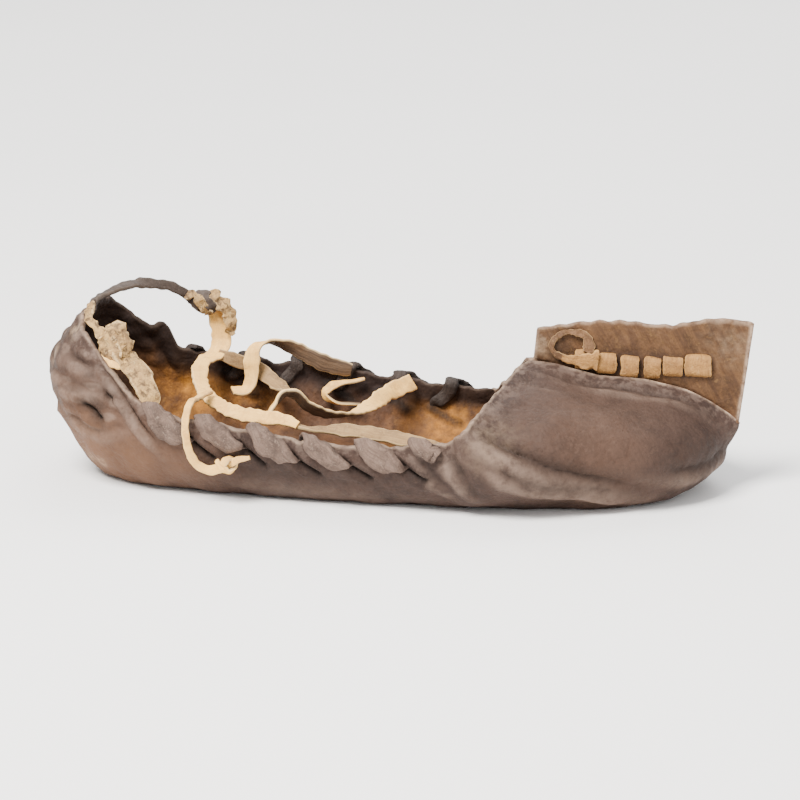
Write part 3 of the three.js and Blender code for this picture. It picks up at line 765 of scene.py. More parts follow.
def hermite(p, q, leave, reach, t):
    h = t * t * (3 - 2 * t)
    return p * (1 - h) + q * h + leave * (t * (1 - t) ** 2) - reach * (t * t * (1 - t))


def flatWay(start, end, otherwise):
    way = (end - start) * (1, 1, 0)
    size = np.linalg.norm(way, axis=-1, keepdims=True)
    return np.where(size > 0.8, way / np.maximum(size, 1e-9), otherwise)


def slope(flat, degrees):
    rise = np.radians(degrees)[:, None]
    return flat * np.cos(rise) + np.array([0, 0, 1.0]) * np.sin(rise)


# The middle of the hide: a along the ribs, v 0 on the sole's outline, 1 at the wall, 2 on the edge.
def wallPoints(side, a, v):
    a, v = (np.ravel(x) for x in np.broadcast_arrays(np.asarray(a, float), np.asarray(v, float)))
    r = ribAt(a)
    sole = np.stack([r["soleX"], side * r["soleY"], hideForm["half"] + soleLift(r["soleX"])], axis=1)
    wall = np.stack([r["wallX"], side * r["wallY"], r["wallZ"]], axis=1)
    offset = smooth((a - throatTop + 1) / 0.8) * smooth((stem - a) / 0.9) * abs(hideForm["ridge"][side])
    edgeY = np.maximum(0, r["edgeY"])
    edgeY = np.where(a > throatTop - 1, np.maximum(edgeY, offset), edgeY)
    edgeZ = r["edgeZ"] - (r["farDrop"] if side == far else 0)
    edge = np.stack([r["edgeX"], side * edgeY, edgeZ], axis=1)
    outward = flatWay(sole, wall, np.array([1.0, 0, 0]))
    knee = slope(outward, r["wallRise"])
    low = np.linalg.norm(wall - sole, axis=1)[:, None]
    leave, reach = outward * low * r["fold"][:, None], knee * low * hideForm["knee"]
    lower = hermite(sole, wall, leave, reach, np.clip(v, 0, 1)[:, None])
    high = np.linalg.norm(edge - wall, axis=1)[:, None] * hideForm["round"]
    end = slope(flatWay(wall, edge, outward), r["edgeRise"])
    upper = hermite(wall, edge, knee * high, end * high, np.clip(v - 1, 0, None)[:, None])
    return np.where((v <= 1)[:, None], lower, upper)


def finPoints(a, w):
    a, w = (np.ravel(x) for x in np.broadcast_arrays(np.asarray(a, float), np.asarray(w, float)))
    rows = np.vstack([finRows[:1], finRows, finRows[-1:]])
    i = np.clip(np.floor(a).astype(int) - throatTop, 0, len(finRows) - 2)
    top = throughFour(rows[i], rows[i + 1], rows[i + 2], rows[i + 3], (a - throatTop - i)[:, None])
    top = top[:, [0, 2, 1]]
    base = wallPoints(far, a, np.full(a.shape, 2.0))
    made = base + (top - base) * w[:, None]
    made[:, 1] = base[:, 1] + (top[:, 1] - base[:, 1]) * w**2
    return made


def solePoints(side, a, q):
    a, q = (np.ravel(x) for x in np.broadcast_arrays(np.asarray(a, float), np.asarray(q, float)))
    r = ribAt(a)
    start, end = hideForm["spine"]
    along = (r["soleX"] - ribRows[0, 0]) / (ribRows[-1, 0] - ribRows[0, 0])
    x = (start + (end - start) * along) * (1 - q) + r["soleX"] * q
    return np.stack([x, side * r["soleY"] * q, hideForm["half"] + soleLift(x)], axis=1)


# A place by the rim: x along it, depth below its edge, and off from the middle of the hide, out of the shoe.
aLine = np.linspace(1.2, throatTop, 2000)  # from where the edge begins to run forward
edgeLine = ribAt(aLine)["edgeX"]


def byRim(side, x, depth, off):
    a = np.interp(x, edgeLine, aLine)
    edge = wallPoints(side, a, np.full(a.shape, 2.0))
    roof = np.linalg.norm(wallPoints(side, a, np.ones(a.shape)) - edge, axis=1)
    v = 2 - np.maximum(0, depth) / roof
    base = wallPoints(side, a, v)
    upWay = unit(wallPoints(side, a, v + 0.01) - wallPoints(side, a, v - 0.01))
    along = unit(wallPoints(side, a + 0.01, v) - wallPoints(side, a - 0.01, v))
    out = unit(np.cross(along, upWay)) * -side
    point = base + out * np.asarray(off)[:, None] + upWay * np.maximum(0, -np.asarray(depth))[:, None]
    return point, upWay, out, along


# Rim lacing: over the edge and through a slit below it once per pitch.
rimLacing = {
    "thick": 1.9,
    "pitch": 19.8,
    "fromX": -86,
    "stitches": 5,
    "lastEnd": 0.43,  # the last stitch: where it stops, how much it stands off and narrows
    "lastLift": 0.9,
    "lastTaper": 0.55,
    "crumple": 0.4,
    "lumpSize": 7.0,
    "section": {"Squareness": 0.6, "Cupping": -0.55, "Edge waver": 0.16, "Waver size": 240.0},
}
# along as a share of the pitch, depth, off, the way the face looks (0 out of the shoe, 90 up), width
rimStitch = [
    (0.0, -2.3, 0, 90, 5.6),
    (0.08, -1.0, 2.1, 40, 6.4),
    (0.2, 1.8, 2.4, 5, 8.2),
    (0.43, 4.8, 2.4, 0, 8.8),
    (0.62, 7.2, 2.3, -20, 6.8),
    (0.69, 8.4, 0, -90, 4.6),
    (0.75, 7.2, -2.4, -160, 4.8),
    (0.86, 4.0, -2.7, -180, 5.2),
    (0.95, 1.0, -2.7, -190, 5.6),
    (0.985, -1.0, -2.3, -220, 5.6),
]


def rimThong(name, node, side, leather, seed):
    rows = []
    draw = np.random.default_rng(seed)
    for i in range(rimLacing["stitches"] + 1):
        fuller = draw.uniform(0.88, 1.14)
        for along, depth, off, turn, wide in rimStitch:
            lift, taper = 0, 1
            if i == rimLacing["stitches"]:
                lift = rimLacing["lastLift"]
                taper = 1 - rimLacing["lastTaper"] * along / rimLacing["lastEnd"]
                if along > rimLacing["lastEnd"]:
                    break
            rows.append((along + i, depth, off + lift, turn - 360 * i, wide * fuller * taper))
    rows = np.array(rows)
    padded = np.vstack([rows[:1], rows, rows[-1:]])
    steps = np.linspace(0, 1, 9, endpoint=False)
    made = [
        throughFour(*(padded[i + k] for k in range(4)), t) for i in range(len(rows) - 1) for t in steps
    ] + [rows[-1]]
    along, depth, off, turn, wide = np.array(made).T
    point, upWay, out, _ = byRim(side, rimLacing["fromX"] + along * rimLacing["pitch"], depth, off)
    turn = np.radians(turn)[:, None]
    face = out * np.cos(turn) + upWay * np.sin(turn)
    piece = stripPiece(name, point, face, wide, rimLacing["thick"], leather, seed, rimLacing["section"])
    crumple(piece, rimLacing["crumple"], rimLacing["lumpSize"], seed)
    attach(piece, "root")
    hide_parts(node)


rimThong("near_rim_lacing", "near_rim_thong", near, rimFinish, 21)
rimThong("far_rim_lacing", "far_rim_thong", far, shadedRimFinish, 22)

# Toe sewing: a wide strip through the fin, one square stitch for each row: x, z, height, width.
toeSewing = {
    "thick": 1.5,
    "step": 0.5,
    "seed": 31,
    "crumple": 0.22,
    "lumpSize": 5.0,
    "section": {"Squareness": 0.3, "Cupping": -0.35, "Edge waver": 0.07, "Waver size": 500.0},
}
toeStitches = [
    (68.4, 47.2, 6.4, 7.0),
    (76.7, 46.0, 6.8, 7.3),
    (85.3, 44.9, 7.2, 7.0),
    (93.7, 44.8, 7.2, 6.2),
    (101.2, 45.9, 6.8, 7.4),
    (110.4, 46.4, 7.6, 9.8),
]
# rise as a share of the height, on towards the next stitch, off the fin, the face's y and z, width share
toeStitch = [
    (-0.5, 0, 0, 0, -1, 0.8),
    (-0.45, 0, -1.9, -0.8, -0.6, 0.97),
    (-0.32, 0, -2.4, -1, 0, 1),
    (0.32, 0, -2.4, -1, 0, 1),
    (0.45, 0, -1.9, -0.8, 0.6, 0.97),
    (0.5, 0.04, 0, 0, 1, 0.75),
    (0.34, 0.1, 2.9, 1, 0, 0.58),
    (-0.34, 0.9, 2.9, 1, 0, 0.58),
]


def finMiddle(x, z):
    a = np.linspace(throatTop, stem, 160)
    w = np.linspace(0, 1, 24)
    grid = finPoints(a[:, None], w[None, :])
    return grid[np.argmin((grid[:, 0] - x) ** 2 + (grid[:, 2] - z) ** 2), 1]


def toeThong():
    rows = []
    for i, (x, z, tall, wide) in enumerate(toeStitches):
        last = i == len(toeStitches) - 1
        nextX, nextZ = toeStitches[i if last else i + 1][:2]
        for rise, on, off, faceY, faceZ, share in toeStitch:
            if last and off > 0:
                break
            px = x + (nextX - x) * on
            pz = z + (nextZ - z) * on + rise * tall
            rows.append((px, finMiddle(px, pz) + off, pz, 0, faceY, faceZ, wide * share))
    made, _ = smoothRoute(rows, toeSewing["step"])
    centre, face, wide = made[:, :3], unit(made[:, 3:6]), made[:, 6]
    thick, seed, section = toeSewing["thick"], toeSewing["seed"], toeSewing["section"]
    piece = stripPiece("toe_sewing", centre, face, wide, thick, toeFinish, seed, section)
    crumple(piece, toeSewing["crumple"], toeSewing["lumpSize"], seed)
    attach(piece, "root")
    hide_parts("toe_thong")


toeThong()
print("thongs laced")


# The hide's skin, finer than the solid, as one sheet: its points, its quads and where each point lies.
hideMesh = {"step": 1.2, "evenAt": 1.3, "wallRows": 20, "roofRows": 30, "soleRows": 13, "finRows": 20}


def evenPlaces(start, end, step):
    a = np.linspace(start, end, 1200)
    line = wallPoints(far, a, np.full(a.shape, hideMesh["evenAt"]))
    run = wayAlong(line)
    count = max(8, int(run[-1] / step))
    return np.interp(np.linspace(0, run[-1], count + 1), run, a)


def hideSkin():
    behind = evenPlaces(0, throatTop, hideMesh["step"])
    ahead = evenPlaces(throatTop, stem, hideMesh["step"])
    places = np.concatenate([behind, ahead[1:]])
    low = np.linspace(0, 1, hideMesh["wallRows"] + 1)
    high = 1 + np.linspace(0, 1, hideMesh["roofRows"] + 1)[1:]
    heights = np.concatenate([low, high])
    inward = 1 - (1 - np.linspace(0, 1, hideMesh["soleRows"] + 1)) ** 1.4
    rises = np.linspace(0, 1, hideMesh["finRows"] + 1)
    grids = []
    for side in (near, far):
        flip = side == far
        grids.append((wallPoints(side, places[:, None], heights[None, :]), places, heights, side, flip))
        grids.append((solePoints(side, places[:, None], inward[None, :]), places, inward - 2, side, flip))
    grids.append((finPoints(ahead[:, None], rises[None, :]), ahead, 2 + rises, 2, True))
    points, quads, where, base = [], [], [], 0
    for made, along, rising, part, flip in grids:
        columns, rows = len(along), len(rising)
        index = base + np.arange(columns * rows).reshape(columns, rows)
        corners = [index[:-1, :-1], index[1:, :-1], index[1:, 1:], index[:-1, 1:]]
        quad = np.stack(corners, axis=-1).reshape(-1, 4)
        quads.append(quad[:, ::-1] if flip else quad)
        points.append(made)
        a, v = np.meshgrid(along, rising, indexing="ij")
        where.append(np.stack([a.ravel(), v.ravel(), np.full(a.size, part)], axis=1))
        base += columns * rows
    points, quads, where = np.vstack(points), np.vstack(quads), np.vstack(where)
    _, first, same = np.unique(np.round(points, 3), axis=0, return_index=True, return_inverse=True)
    return points[first], same.ravel()[quads], where[first]


def skinNormals(points, quads):
    a, b, c, d = (points[quads[:, k]] for k in range(4))
    way = np.cross(c - a, d - b)
    total = np.zeros_like(points)
    for k in range(4):
        np.add.at(total, quads[:, k], way)
    return unit(total)


skin, skinQuads, skinWhere = hideSkin()
skinA, skinV, skinPart = skinWhere.T
onWall = (skinV >= 0) & (skinV <= 2) & (np.abs(skinPart) == 1)
onSole = skinV < 0
onFin = skinPart == 2
sideOf = np.where(skin[:, 1] < 0, near, far)

# Creases: side, depth of the trough, its width, the lip below it, and a line of places on the skin.
wingFold = [(35, -47, 33), (41, -51.5, 31), (49, -53, 26), (60, -51, 20.5), (74, -46, 16), (92, -36, 11)]
creases = [
    # the wing's fold from the throat's corner down to the sole
    (near, 3.3, 3.2, 2.4, wingFold),
    (far, 2.2, 3.6, 1.4, [(36, 46, 31), (45, 51, 28), (54, 53, 22), (66, 49, 17), (80, 43, 13)]),
    # a second fold below it
    (near, 1.8, 2.2, 1.4, [(38, -55, 24), (48, -54, 18), (60, -51, 13), (76, -45, 9.5), (92, -37, 7)]),
    (far, 1.0, 2.6, 0.6, [(44, 55, 20), (58, 51, 13), (74, 45, 9)]),
    # along the wing, below the toe sewing
    (near, 1.1, 2.2, 0.6, [(64, -9, 42), (82, -9, 39.4), (98, -8.5, 36.6), (112, -7, 31.5)]),
    (far, 0.8, 2.8, 0.3, [(62, 11, 42), (80, 10, 39.4), (100, 9, 36)]),
    # across the toe's front
    (near, 1.6, 2.8, 0.8, [(122, -1, 16.5), (118, -13, 16), (110, -25, 15.5), (99, -33, 17)]),
    (far, 1.4, 3.0, 0.6, [(122, 1, 16.5), (118, 14, 15.5), (108, 27, 15)]),
    # the flap's edge on the heel
    (near, 1.5, 1.4, 1.6, [(-103, -33, 44), (-96, -38, 36.5), (-90, -41, 28), (-82, -42, 18.5)]),
    (far, 1.0, 1.6, 1.0, [(-101, 34, 46), (-96, 38.5, 35), (-90, 41, 25)]),
    # puckers of the heel
    (near, 1.3, 2.0, 0.9, [(-125, -16, 43), (-118, -26.5, 39.5), (-110, -33, 39), (-102, -36, 40)]),
    (near, 1.2, 1.8, 0.9, [(-122, -24, 29), (-115, -31, 25), (-106, -36.5, 24), (-98, -39, 26)]),
    (near, 0.9, 2.0, 0.5, [(-122, -20, 50), (-115, -26.5, 47), (-108, -31, 45)]),
    (near, 0.7, 2.6, 0.4, [(-128, -8, 34), (-124, -21, 30), (-119, -27, 22)]),
    (far, 1.2, 2.2, 0.7, [(-126, 12, 42), (-120, 24, 39), (-111, 33, 37)]),
    (far, 0.9, 2.2, 0.5, [(-123, 20, 27), (-114, 31, 24), (-104, 37, 23)]),
    # the throat's corners and the soft sides
    (near, 1.6, 2.4, 0.9, [(25, -51, 24), (29, -55, 18), (35, -53, 11)]),
    (near, 0.9, 2.0, 0.6, [(15, -50, 21), (21, -51.5, 14), (29, -49, 8)]),
    (far, 1.4, 3.0, 0.6, [(27, 53, 20), (31, 55, 15), (38, 51, 8)]),
    (near, 0.8, 4.5, 0.3, [(-64, -44, 14), (-30, -46.5, 11), (4, -48, 10.5)]),
    (far, 0.8, 4.5, 0.3, [(-60, 44, 14), (-26, 46.5, 12), (6, 48, 11)]),
    # short gathers at the throat's top
    (near, 0.8, 1.6, 0.3, [(50, -9, 45), (59, -10.5, 43.4), (68, -12, 41)]),
    (near, 0.7, 1.5, 0.3, [(46, -17, 43.6), (55, -19.5, 41.6), (63, -22, 39)]),
    (far, 0.7, 1.8, 0.2, [(50, 8, 45), (58, 10, 43.6), (66, 12.5, 41)]),
]


def closestOf(points):
    finder = kdtree.KDTree(len(points))
    for i, p in enumerate(points):
        finder.insert(p, i)
    finder.balance()
    return finder.find


# Distance of each point from a line laid on the skin, how far below it, and the share of the way along.
def fromLine(points, normals, line):
    find = closestOf(points)
    line = np.array([points[find(p)[1]] for p in line])
    size = np.linalg.norm(np.diff(line, axis=0), axis=1)
    starts = np.concatenate([[0.0], np.cumsum(size)])
    best = np.full(len(points), 1e9)
    below = np.zeros(len(points))
    share = np.zeros(len(points))
    for k in range(len(line) - 1):
        way = (line[k + 1] - line[k]) / max(size[k], 1e-6)
        t = np.clip((points - line[k]) @ way, 0, size[k])
        off = points - line[k] - t[:, None] * way
        d = np.linalg.norm(off, axis=1)
        closer = d < best
        best = np.where(closer, d, best)
        lower = np.cross(way, normals)
        lower = np.where(lower[:, 2:3] > 0, -lower, lower)
        below = np.where(closer, np.sum(off * lower, axis=1), below)
        share = np.where(closer, (starts[k] + t) / starts[-1], share)
    return best, below, share


normals = skinNormals(skin, skinQuads)
shift = np.zeros(len(skin))
# painted shade in the crease troughs, round the slits and in the heel's folds
creviceShade = np.zeros(len(skin))
# painted highlight on the ridges beside the creases and on the heel's fold tops
lipHighlight = np.zeros(len(skin))
for creaseSide, depth, width, lip, line in creases:
    use = (sideOf == creaseSide) & ~onFin
    d, below, share = fromLine(skin[use], normals[use], line)
    fade = smooth(share / 0.2) * smooth((1 - share) / 0.25) * 0.75 + 0.25
    trough = (0.5 * bell(d, width) + 0.5 * np.exp(-d / (0.6 * width))) * fade
    ridge = bell(below - 1.7 * width, width * 0.9) * bell(np.maximum(0, d - 2.5 * width), width) * fade
    shift[use] += lip * ridge - depth * trough
    creviceShade[use] = np.maximum(creviceShade[use], trough * min(1.0, depth / 1.6))
    lipHighlight[use] = np.maximum(lipHighlight[use], 0.8 * ridge * min(1.0, lip))

# Slits of the rim lacing and three old cuts at the heel, all aslant.
slit = {
    "at": 0.7,  # share of the pitch
    "ahead": 3.6,
    "depth": 9.4,  # below the rim
    "long": 13.0,
    "wide": 1.7,
    "slant": -32.0,
    "deep": 2.8,
    "farDeep": 1.0,
}
heelCuts = [  # x, y, z, length, width
    (-108.7, -35, 31, 10, 2.3),
    (-101.5, -36.5, 36.5, 3, 1.5),
    (-110, 34, 31, 8, 1.7),
]
heelCutSlant = 0.45  # radians
slitShade = np.zeros(len(skin))
slitLines = []
for side in (near, far):
    on = (np.arange(rimLacing["stitches"]) + slit["at"]) * rimLacing["pitch"]
    centres = rimLacing["fromX"] + on + slit["ahead"]
    depths = np.full(centres.shape, slit["depth"])
    point, upWay, _, along = byRim(side, centres, depths, np.zeros(centres.shape))
    slant = math.radians(slit["slant"])
    way = along * math.cos(slant) + upWay * math.sin(slant)
    reach = way * slit["long"] / 2
    slitLines += [(side, p - r, p + r, slit["wide"]) for p, r in zip(point, reach)]
for x, y, z, length, wide in heelCuts:
    way = np.array([math.cos(heelCutSlant), -0.25 * np.sign(y), -math.sin(heelCutSlant)])
    cut = np.array([x, y, z], float)
    slitLines.append((np.sign(y), cut - way * length / 2, cut + way * length / 2, wide))
for side, start, end, wide in slitLines:
    use = (sideOf == side) & onWall
    d, _, _ = fromLine(skin[use], normals[use], [start, (start + end) / 2, end])
    gape = bell(d, wide)
    deep = slit["deep"] if side == near else slit["farDeep"]
    shift[use] += 0.25 * deep * bell(d - 1.6 * wide, 1.4) - deep * gape
    # painted shade where the slit would gape
    slitShade[use] = np.maximum(slitShade[use], gape)
    creviceShade[use] = np.maximum(creviceShade[use], 0.75 * bell(d, 2.0))

# The heel: rings round the longest cut, and small folds where the hide has crumpled.
heel = {
    "ridge": 4.4,
    "groove": 7.0,
    "startX": -88,
    "startZ": 16,
    "foldSize": 6.0,
    "foldFlat": (0.55, 0.55, 1.3),
}
heelEye = np.linalg.norm(skin - heelCuts[0][:3], axis=1)
nearSide = skin[:, 1] < 0
shift += nearSide * (0.5 * bell(heelEye - heel["ridge"], 1.4) - 0.3 * bell(heelEye - heel["groove"], 1.3))
creviceShade = np.maximum(creviceShade, 0.2 * bell(heelEye - heel["groove"], 1.0) * nearSide)
crumpled = smooth((heel["startX"] - skin[:, 0]) / 14) * smooth((skin[:, 2] - heel["startZ"]) / 12) * onWall
folds = lumps(skin * heel["foldFlat"], heel["foldSize"], 22)
shift += crumpled * (0.35 * lumps(skin, 12.0, 21) + 0.26 * folds)
creviceShade = np.maximum(creviceShade, crumpled * 0.55 * smooth((-0.25 - folds) / 0.6))
lipHighlight = np.maximum(lipHighlight, crumpled * 0.55 * smooth((folds - 0.3) / 0.6))

# Puckers between the rim's stitches, a wavy fin, and a soft unevenness all over.
pucker = {"startX": -92, "endX": 24, "fade": 8, "out": 0.45, "up": 0.5}
unevenness = [(0.32, 17.0, 3), (0.16, 6.5, 4)]  # height, size, seed
wallTall, farAway = 13.0, 99.0
edgeDepth = np.where(onWall, np.clip(2 - skinV, 0, 2) * wallTall, farAway)
laced = smooth((skin[:, 0] - pucker["startX"]) / pucker["fade"]) * (np.abs(skin[:, 1]) > 30)
laced = laced * smooth((pucker["endX"] - skin[:, 0]) / pucker["fade"])
stitchWave = np.cos(2 * math.pi * (skin[:, 0] - rimLacing["fromX"]) / rimLacing["pitch"] - 0.9)
shift += pucker["out"] * stitchWave * laced * bell(edgeDepth, 9.0) * onWall
shift += sum(height * lumps(skin, size, seed) for height, size, seed in unevenness) * ~onSole
finRise = np.where(onFin, skinV - 2, 0)
shift += onFin * finRise * (0.9 * np.sin(skin[:, 0] * 0.16 + 0.6) + 0.5 * np.sin(skin[:, 0] * 0.41))
flatSole = skin[:, 2] < hideForm["half"] + 0.2
shift[flatSole] = 0
skin = skin + normals * shift[:, None]
skin[:, 2] += pucker["up"] * stitchWave * laced * bell(edgeDepth, 5.0) * onWall

# A tab of the hide left standing on the far rim, at the heel's slope.
tab = {"x": -96.0, "wide": 3.2, "tall": 6.5}
tabMask = bell(skin[:, 0] - tab["x"], tab["wide"]) * bell(edgeDepth, 6.0) * onWall * (sideOf == far)
skin[:, 2] += tab["tall"] * tabMask

# Uneven cut edges: rim, throat and fin.
rimTop = bell(edgeDepth, 4.0) * onWall * (skinA < throatTop)
skin[:, 2] += rimTop * (0.35 * lumps(skin, 9.0, 11) + 0.25 * lumps(skin, 4.0, 12))
skin[:, 2] += onFin * smooth(finRise) * (0.12 * np.sin(skin[:, 0] * 0.33) + 0.35 * lumps(skin, 5.0, 13))
normals = skinNormals(skin, skinQuads)
print("hide shaped:", len(skin), "points")

# The skin gets its thickness: outer side, inner side and a rounded cut edge.
half = hideForm["half"]
flat = np.where((skin[:, 2] < half + 0.05)[:, None], np.array([0, 0, -1.0]), normals)
pairs = np.concatenate([skinQuads[:, [k, (k + 1) % 4]] for k in range(4)])
pairs = pairs[pairs[:, 0] != pairs[:, 1]]
code = pairs[:, 0] * len(skin) + pairs[:, 1]
back = pairs[:, 1] * len(skin) + pairs[:, 0]
rim = pairs[~np.isin(code, back)]
edgePoints = np.unique(rim)
edgeWay = np.zeros_like(skin)
rimWay = np.cross(skin[rim[:, 1]] - skin[rim[:, 0]], normals[rim[:, 0]])
for k in range(2):
    np.add.at(edgeWay, rim[:, k], rimWay)
edgeWay = unit(edgeWay)
count = len(skin)
edgeIndex = np.full(count, -1)
edgeIndex[edgePoints] = 2 * count + np.arange(len(edgePoints))
points = np.vstack([skin + flat * half, skin - flat * half, skin[edgePoints] + edgeWay[edgePoints] * 0.5])
faces = [tuple(dict.fromkeys(q)) for q in skinQuads.tolist()]
faces += [tuple(dict.fromkeys(q)) for q in (skinQuads[:, ::-1] + count).tolist()]
for start, end in rim.tolist():
    faces.append((end, start, int(edgeIndex[start]), int(edgeIndex[end])))
    faces.append((int(edgeIndex[end]), int(edgeIndex[start]), start + count, end + count))

# What the finish reads: which side shows, cut edges, closeness to an edge, and listed patches.
findEdge = closestOf(skin[edgePoints])
edgeGap = np.array([findEdge(p)[2] for p in skin])
# patches: layer, x, y, z, radius, strength
warmPatches = [
    ("outer", -113, -28, 12, 24, 1.0),
    ("outer", -97, -38, 11, 17, 0.8),
    ("outer", -78, -41, 12, 15, 0.45),
    ("outer", -124, 0, 20, 22, 0.7),
    ("outer", -110, 30, 13, 22, 0.8),
    ("outer", 76, -38, 29, 24, 0.22),
]
# Dark patches: on the outer side and the fin they are stains and dirt; on the inner side they are painted
# shade inside the shoe.
stainAndShadePatches = [
    ("outer", -104, -37, 37, 7, 0.5),
    ("outer", -116, -28, 34, 6, 0.35),
    ("outer", 114, -20, 13, 17, 0.6),
    ("outer", 103, -28, 24, 14, 0.35),
    ("outer", 60, -50, 17, 10, 0.35),
    ("outer", -50, -46, 10, 14, 0.25),
    ("outer", -126, -6, 40, 12, 0.4),
    ("outer", 112, 22, 13, 18, 0.5),
    ("inner", -113, 2, 52, 19, 1.0),
    ("inner", -98, 32, 42, 12, 0.8),
    ("inner", -62, 44, 26, 9, 0.7),
    ("inner", -30, 46, 23, 9, 0.7),
    ("inner", -33, 44, 7, 13, 0.75),
    ("inner", -101, 30, 26, 9, 0.6),
    ("inner", -40, 10, 2, 26, 0.45),
    ("inner", -22, 38, 3, 13, 0.8),
    ("inner", -48, 34, 3, 12, 0.6),
    ("inner", 10, 48, 22, 9, 0.7),
    ("inner", 60, 0, 30, 40, 0.7),
    ("inner", 60, -8, 53, 6, 0.5),
    ("fin", 56, 0, 52, 7, 0.6),
    ("fin", 90, 0, 41, 6, 0.4),
]
amberPatches = [
    ("inner", -86, 40, 20, 15, 1.0),
    ("inner", -64, 43, 12, 12, 0.7),
    ("inner", 12, 47, 12, 15, 1.0),
    ("inner", 28, 50, 10, 11, 0.8),
    ("inner", 0, 20, 2, 20, 0.5),
    ("inner", -92, -30, 18, 12, 0.5),
]
palePatches = [
    ("outer", -118, -20, 57, 3.0, 0.9),
    ("outer", -124, -14, 45, 3.0, 0.8),
    ("outer", -112, -22, 9.3, 3.0, 0.8),
    ("outer", -107, -27, 9.5, 2.2, 0.7),
    ("outer", 40, -50, 29, 9, 0.16),
    ("fin", 122, 0, 55, 9, 0.15),
    ("fin", 53, 0, 52, 3.5, 0.6),
]


def patchMask(patches, layer):
    mask = np.zeros(count)
    for which, x, y, z, radius, strength in patches:
        if which == layer:
            d = np.linalg.norm(skin - (x, y, z), axis=1)
            mask = np.maximum(mask, strength * bell(d, radius))
    return mask


def bothSides(outer, inner, edge=None):
    return np.concatenate([outer, inner, (outer if edge is None else edge)[edgePoints]])


none = np.zeros(count)
finMask = onFin.astype(float)
# how pale each cut edge is: throat, near wing and stem are dry and light, the far rim is dark
paleness = {
    "fin": 0.35,
    "stem": 0.6,
    "nearRim": 0.3,
    "farRim": 0.06,
    "throat": 0.4,
    "nearWing": 0.35,
    "towardsToe": 0.6,
}
throatStart, toeStart = 7.7, 12.4  # ribs
throat = onWall & (skinA > throatStart) & (skinA <= throatTop)
nearWing = onWall & (skinA > throatTop) & (sideOf == near)
wingPale = paleness["nearWing"] + paleness["towardsToe"] * smooth((skinA - toeStart) / 0.8)
paleEdge = np.where(sideOf == near, paleness["nearRim"], paleness["farRim"])
paleEdge = np.where(onFin, paleness["fin"], paleEdge)
paleEdge = np.where(throat, paleness["throat"], paleEdge)
paleEdge = np.where(nearWing, wingPale, paleEdge)
paleEdge = np.where(onFin & (skinA > stem - 0.15), paleness["stem"], paleEdge)
cutEdge = bell(edgeGap, 0.6) * paleEdge
seamBand = onFin * smooth((5.6 - np.abs(skin[:, 2] - 46.2)) / 2.5) * smooth((skin[:, 0] - 62) / 4)
seamBand = seamBand * smooth((118 - skin[:, 0]) / 3)
# Painted shade on the inner side: near the rim and high in the heel, where the inside of the shoe lies in
# shadow.
innerShade = smooth((15 - edgeGap) / 11) * onWall * (skinA < throatTop)
innerShade = np.maximum(innerShade, smooth((skin[:, 2] - 26) / 16) * (skinA < 4) * onWall)
values = {
    "flesh": np.concatenate([none, np.ones(count), np.ones(len(edgePoints))]),
    "fin": bothSides(none, finMask),
    "cut": bothSides(cutEdge, cutEdge, paleEdge),
    # painted shade inside the shoe
    "innerShade": bothSides(none, innerShade, innerShade),
    "edgeNear": bothSides(bell(edgeGap, 7.0), bell(edgeGap, 5.0)),
    # painted shade in hollows and slits, and a painted highlight on ridges
    "creviceShade": bothSides(creviceShade, creviceShade * 0.4),
    "slit": bothSides(slitShade, slitShade * 0.8),
    "lip": bothSides(lipHighlight, none),
    "warm": bothSides(patchMask(warmPatches, "outer"), none),
    # stains outside and on the fin, painted shade on the inner side
    "stainAndShade": bothSides(
        patchMask(stainAndShadePatches, "outer"),
        np.where(onFin, np.maximum(seamBand, patchMask(stainAndShadePatches, "fin")), patchMask(stainAndShadePatches, "inner")),
    ),
    "pale": bothSides(patchMask(palePatches, "outer"), np.where(onFin, patchMask(palePatches, "fin"), 0)),
    "amber": bothSides(none, patchMask(amberPatches, "inner")),
}


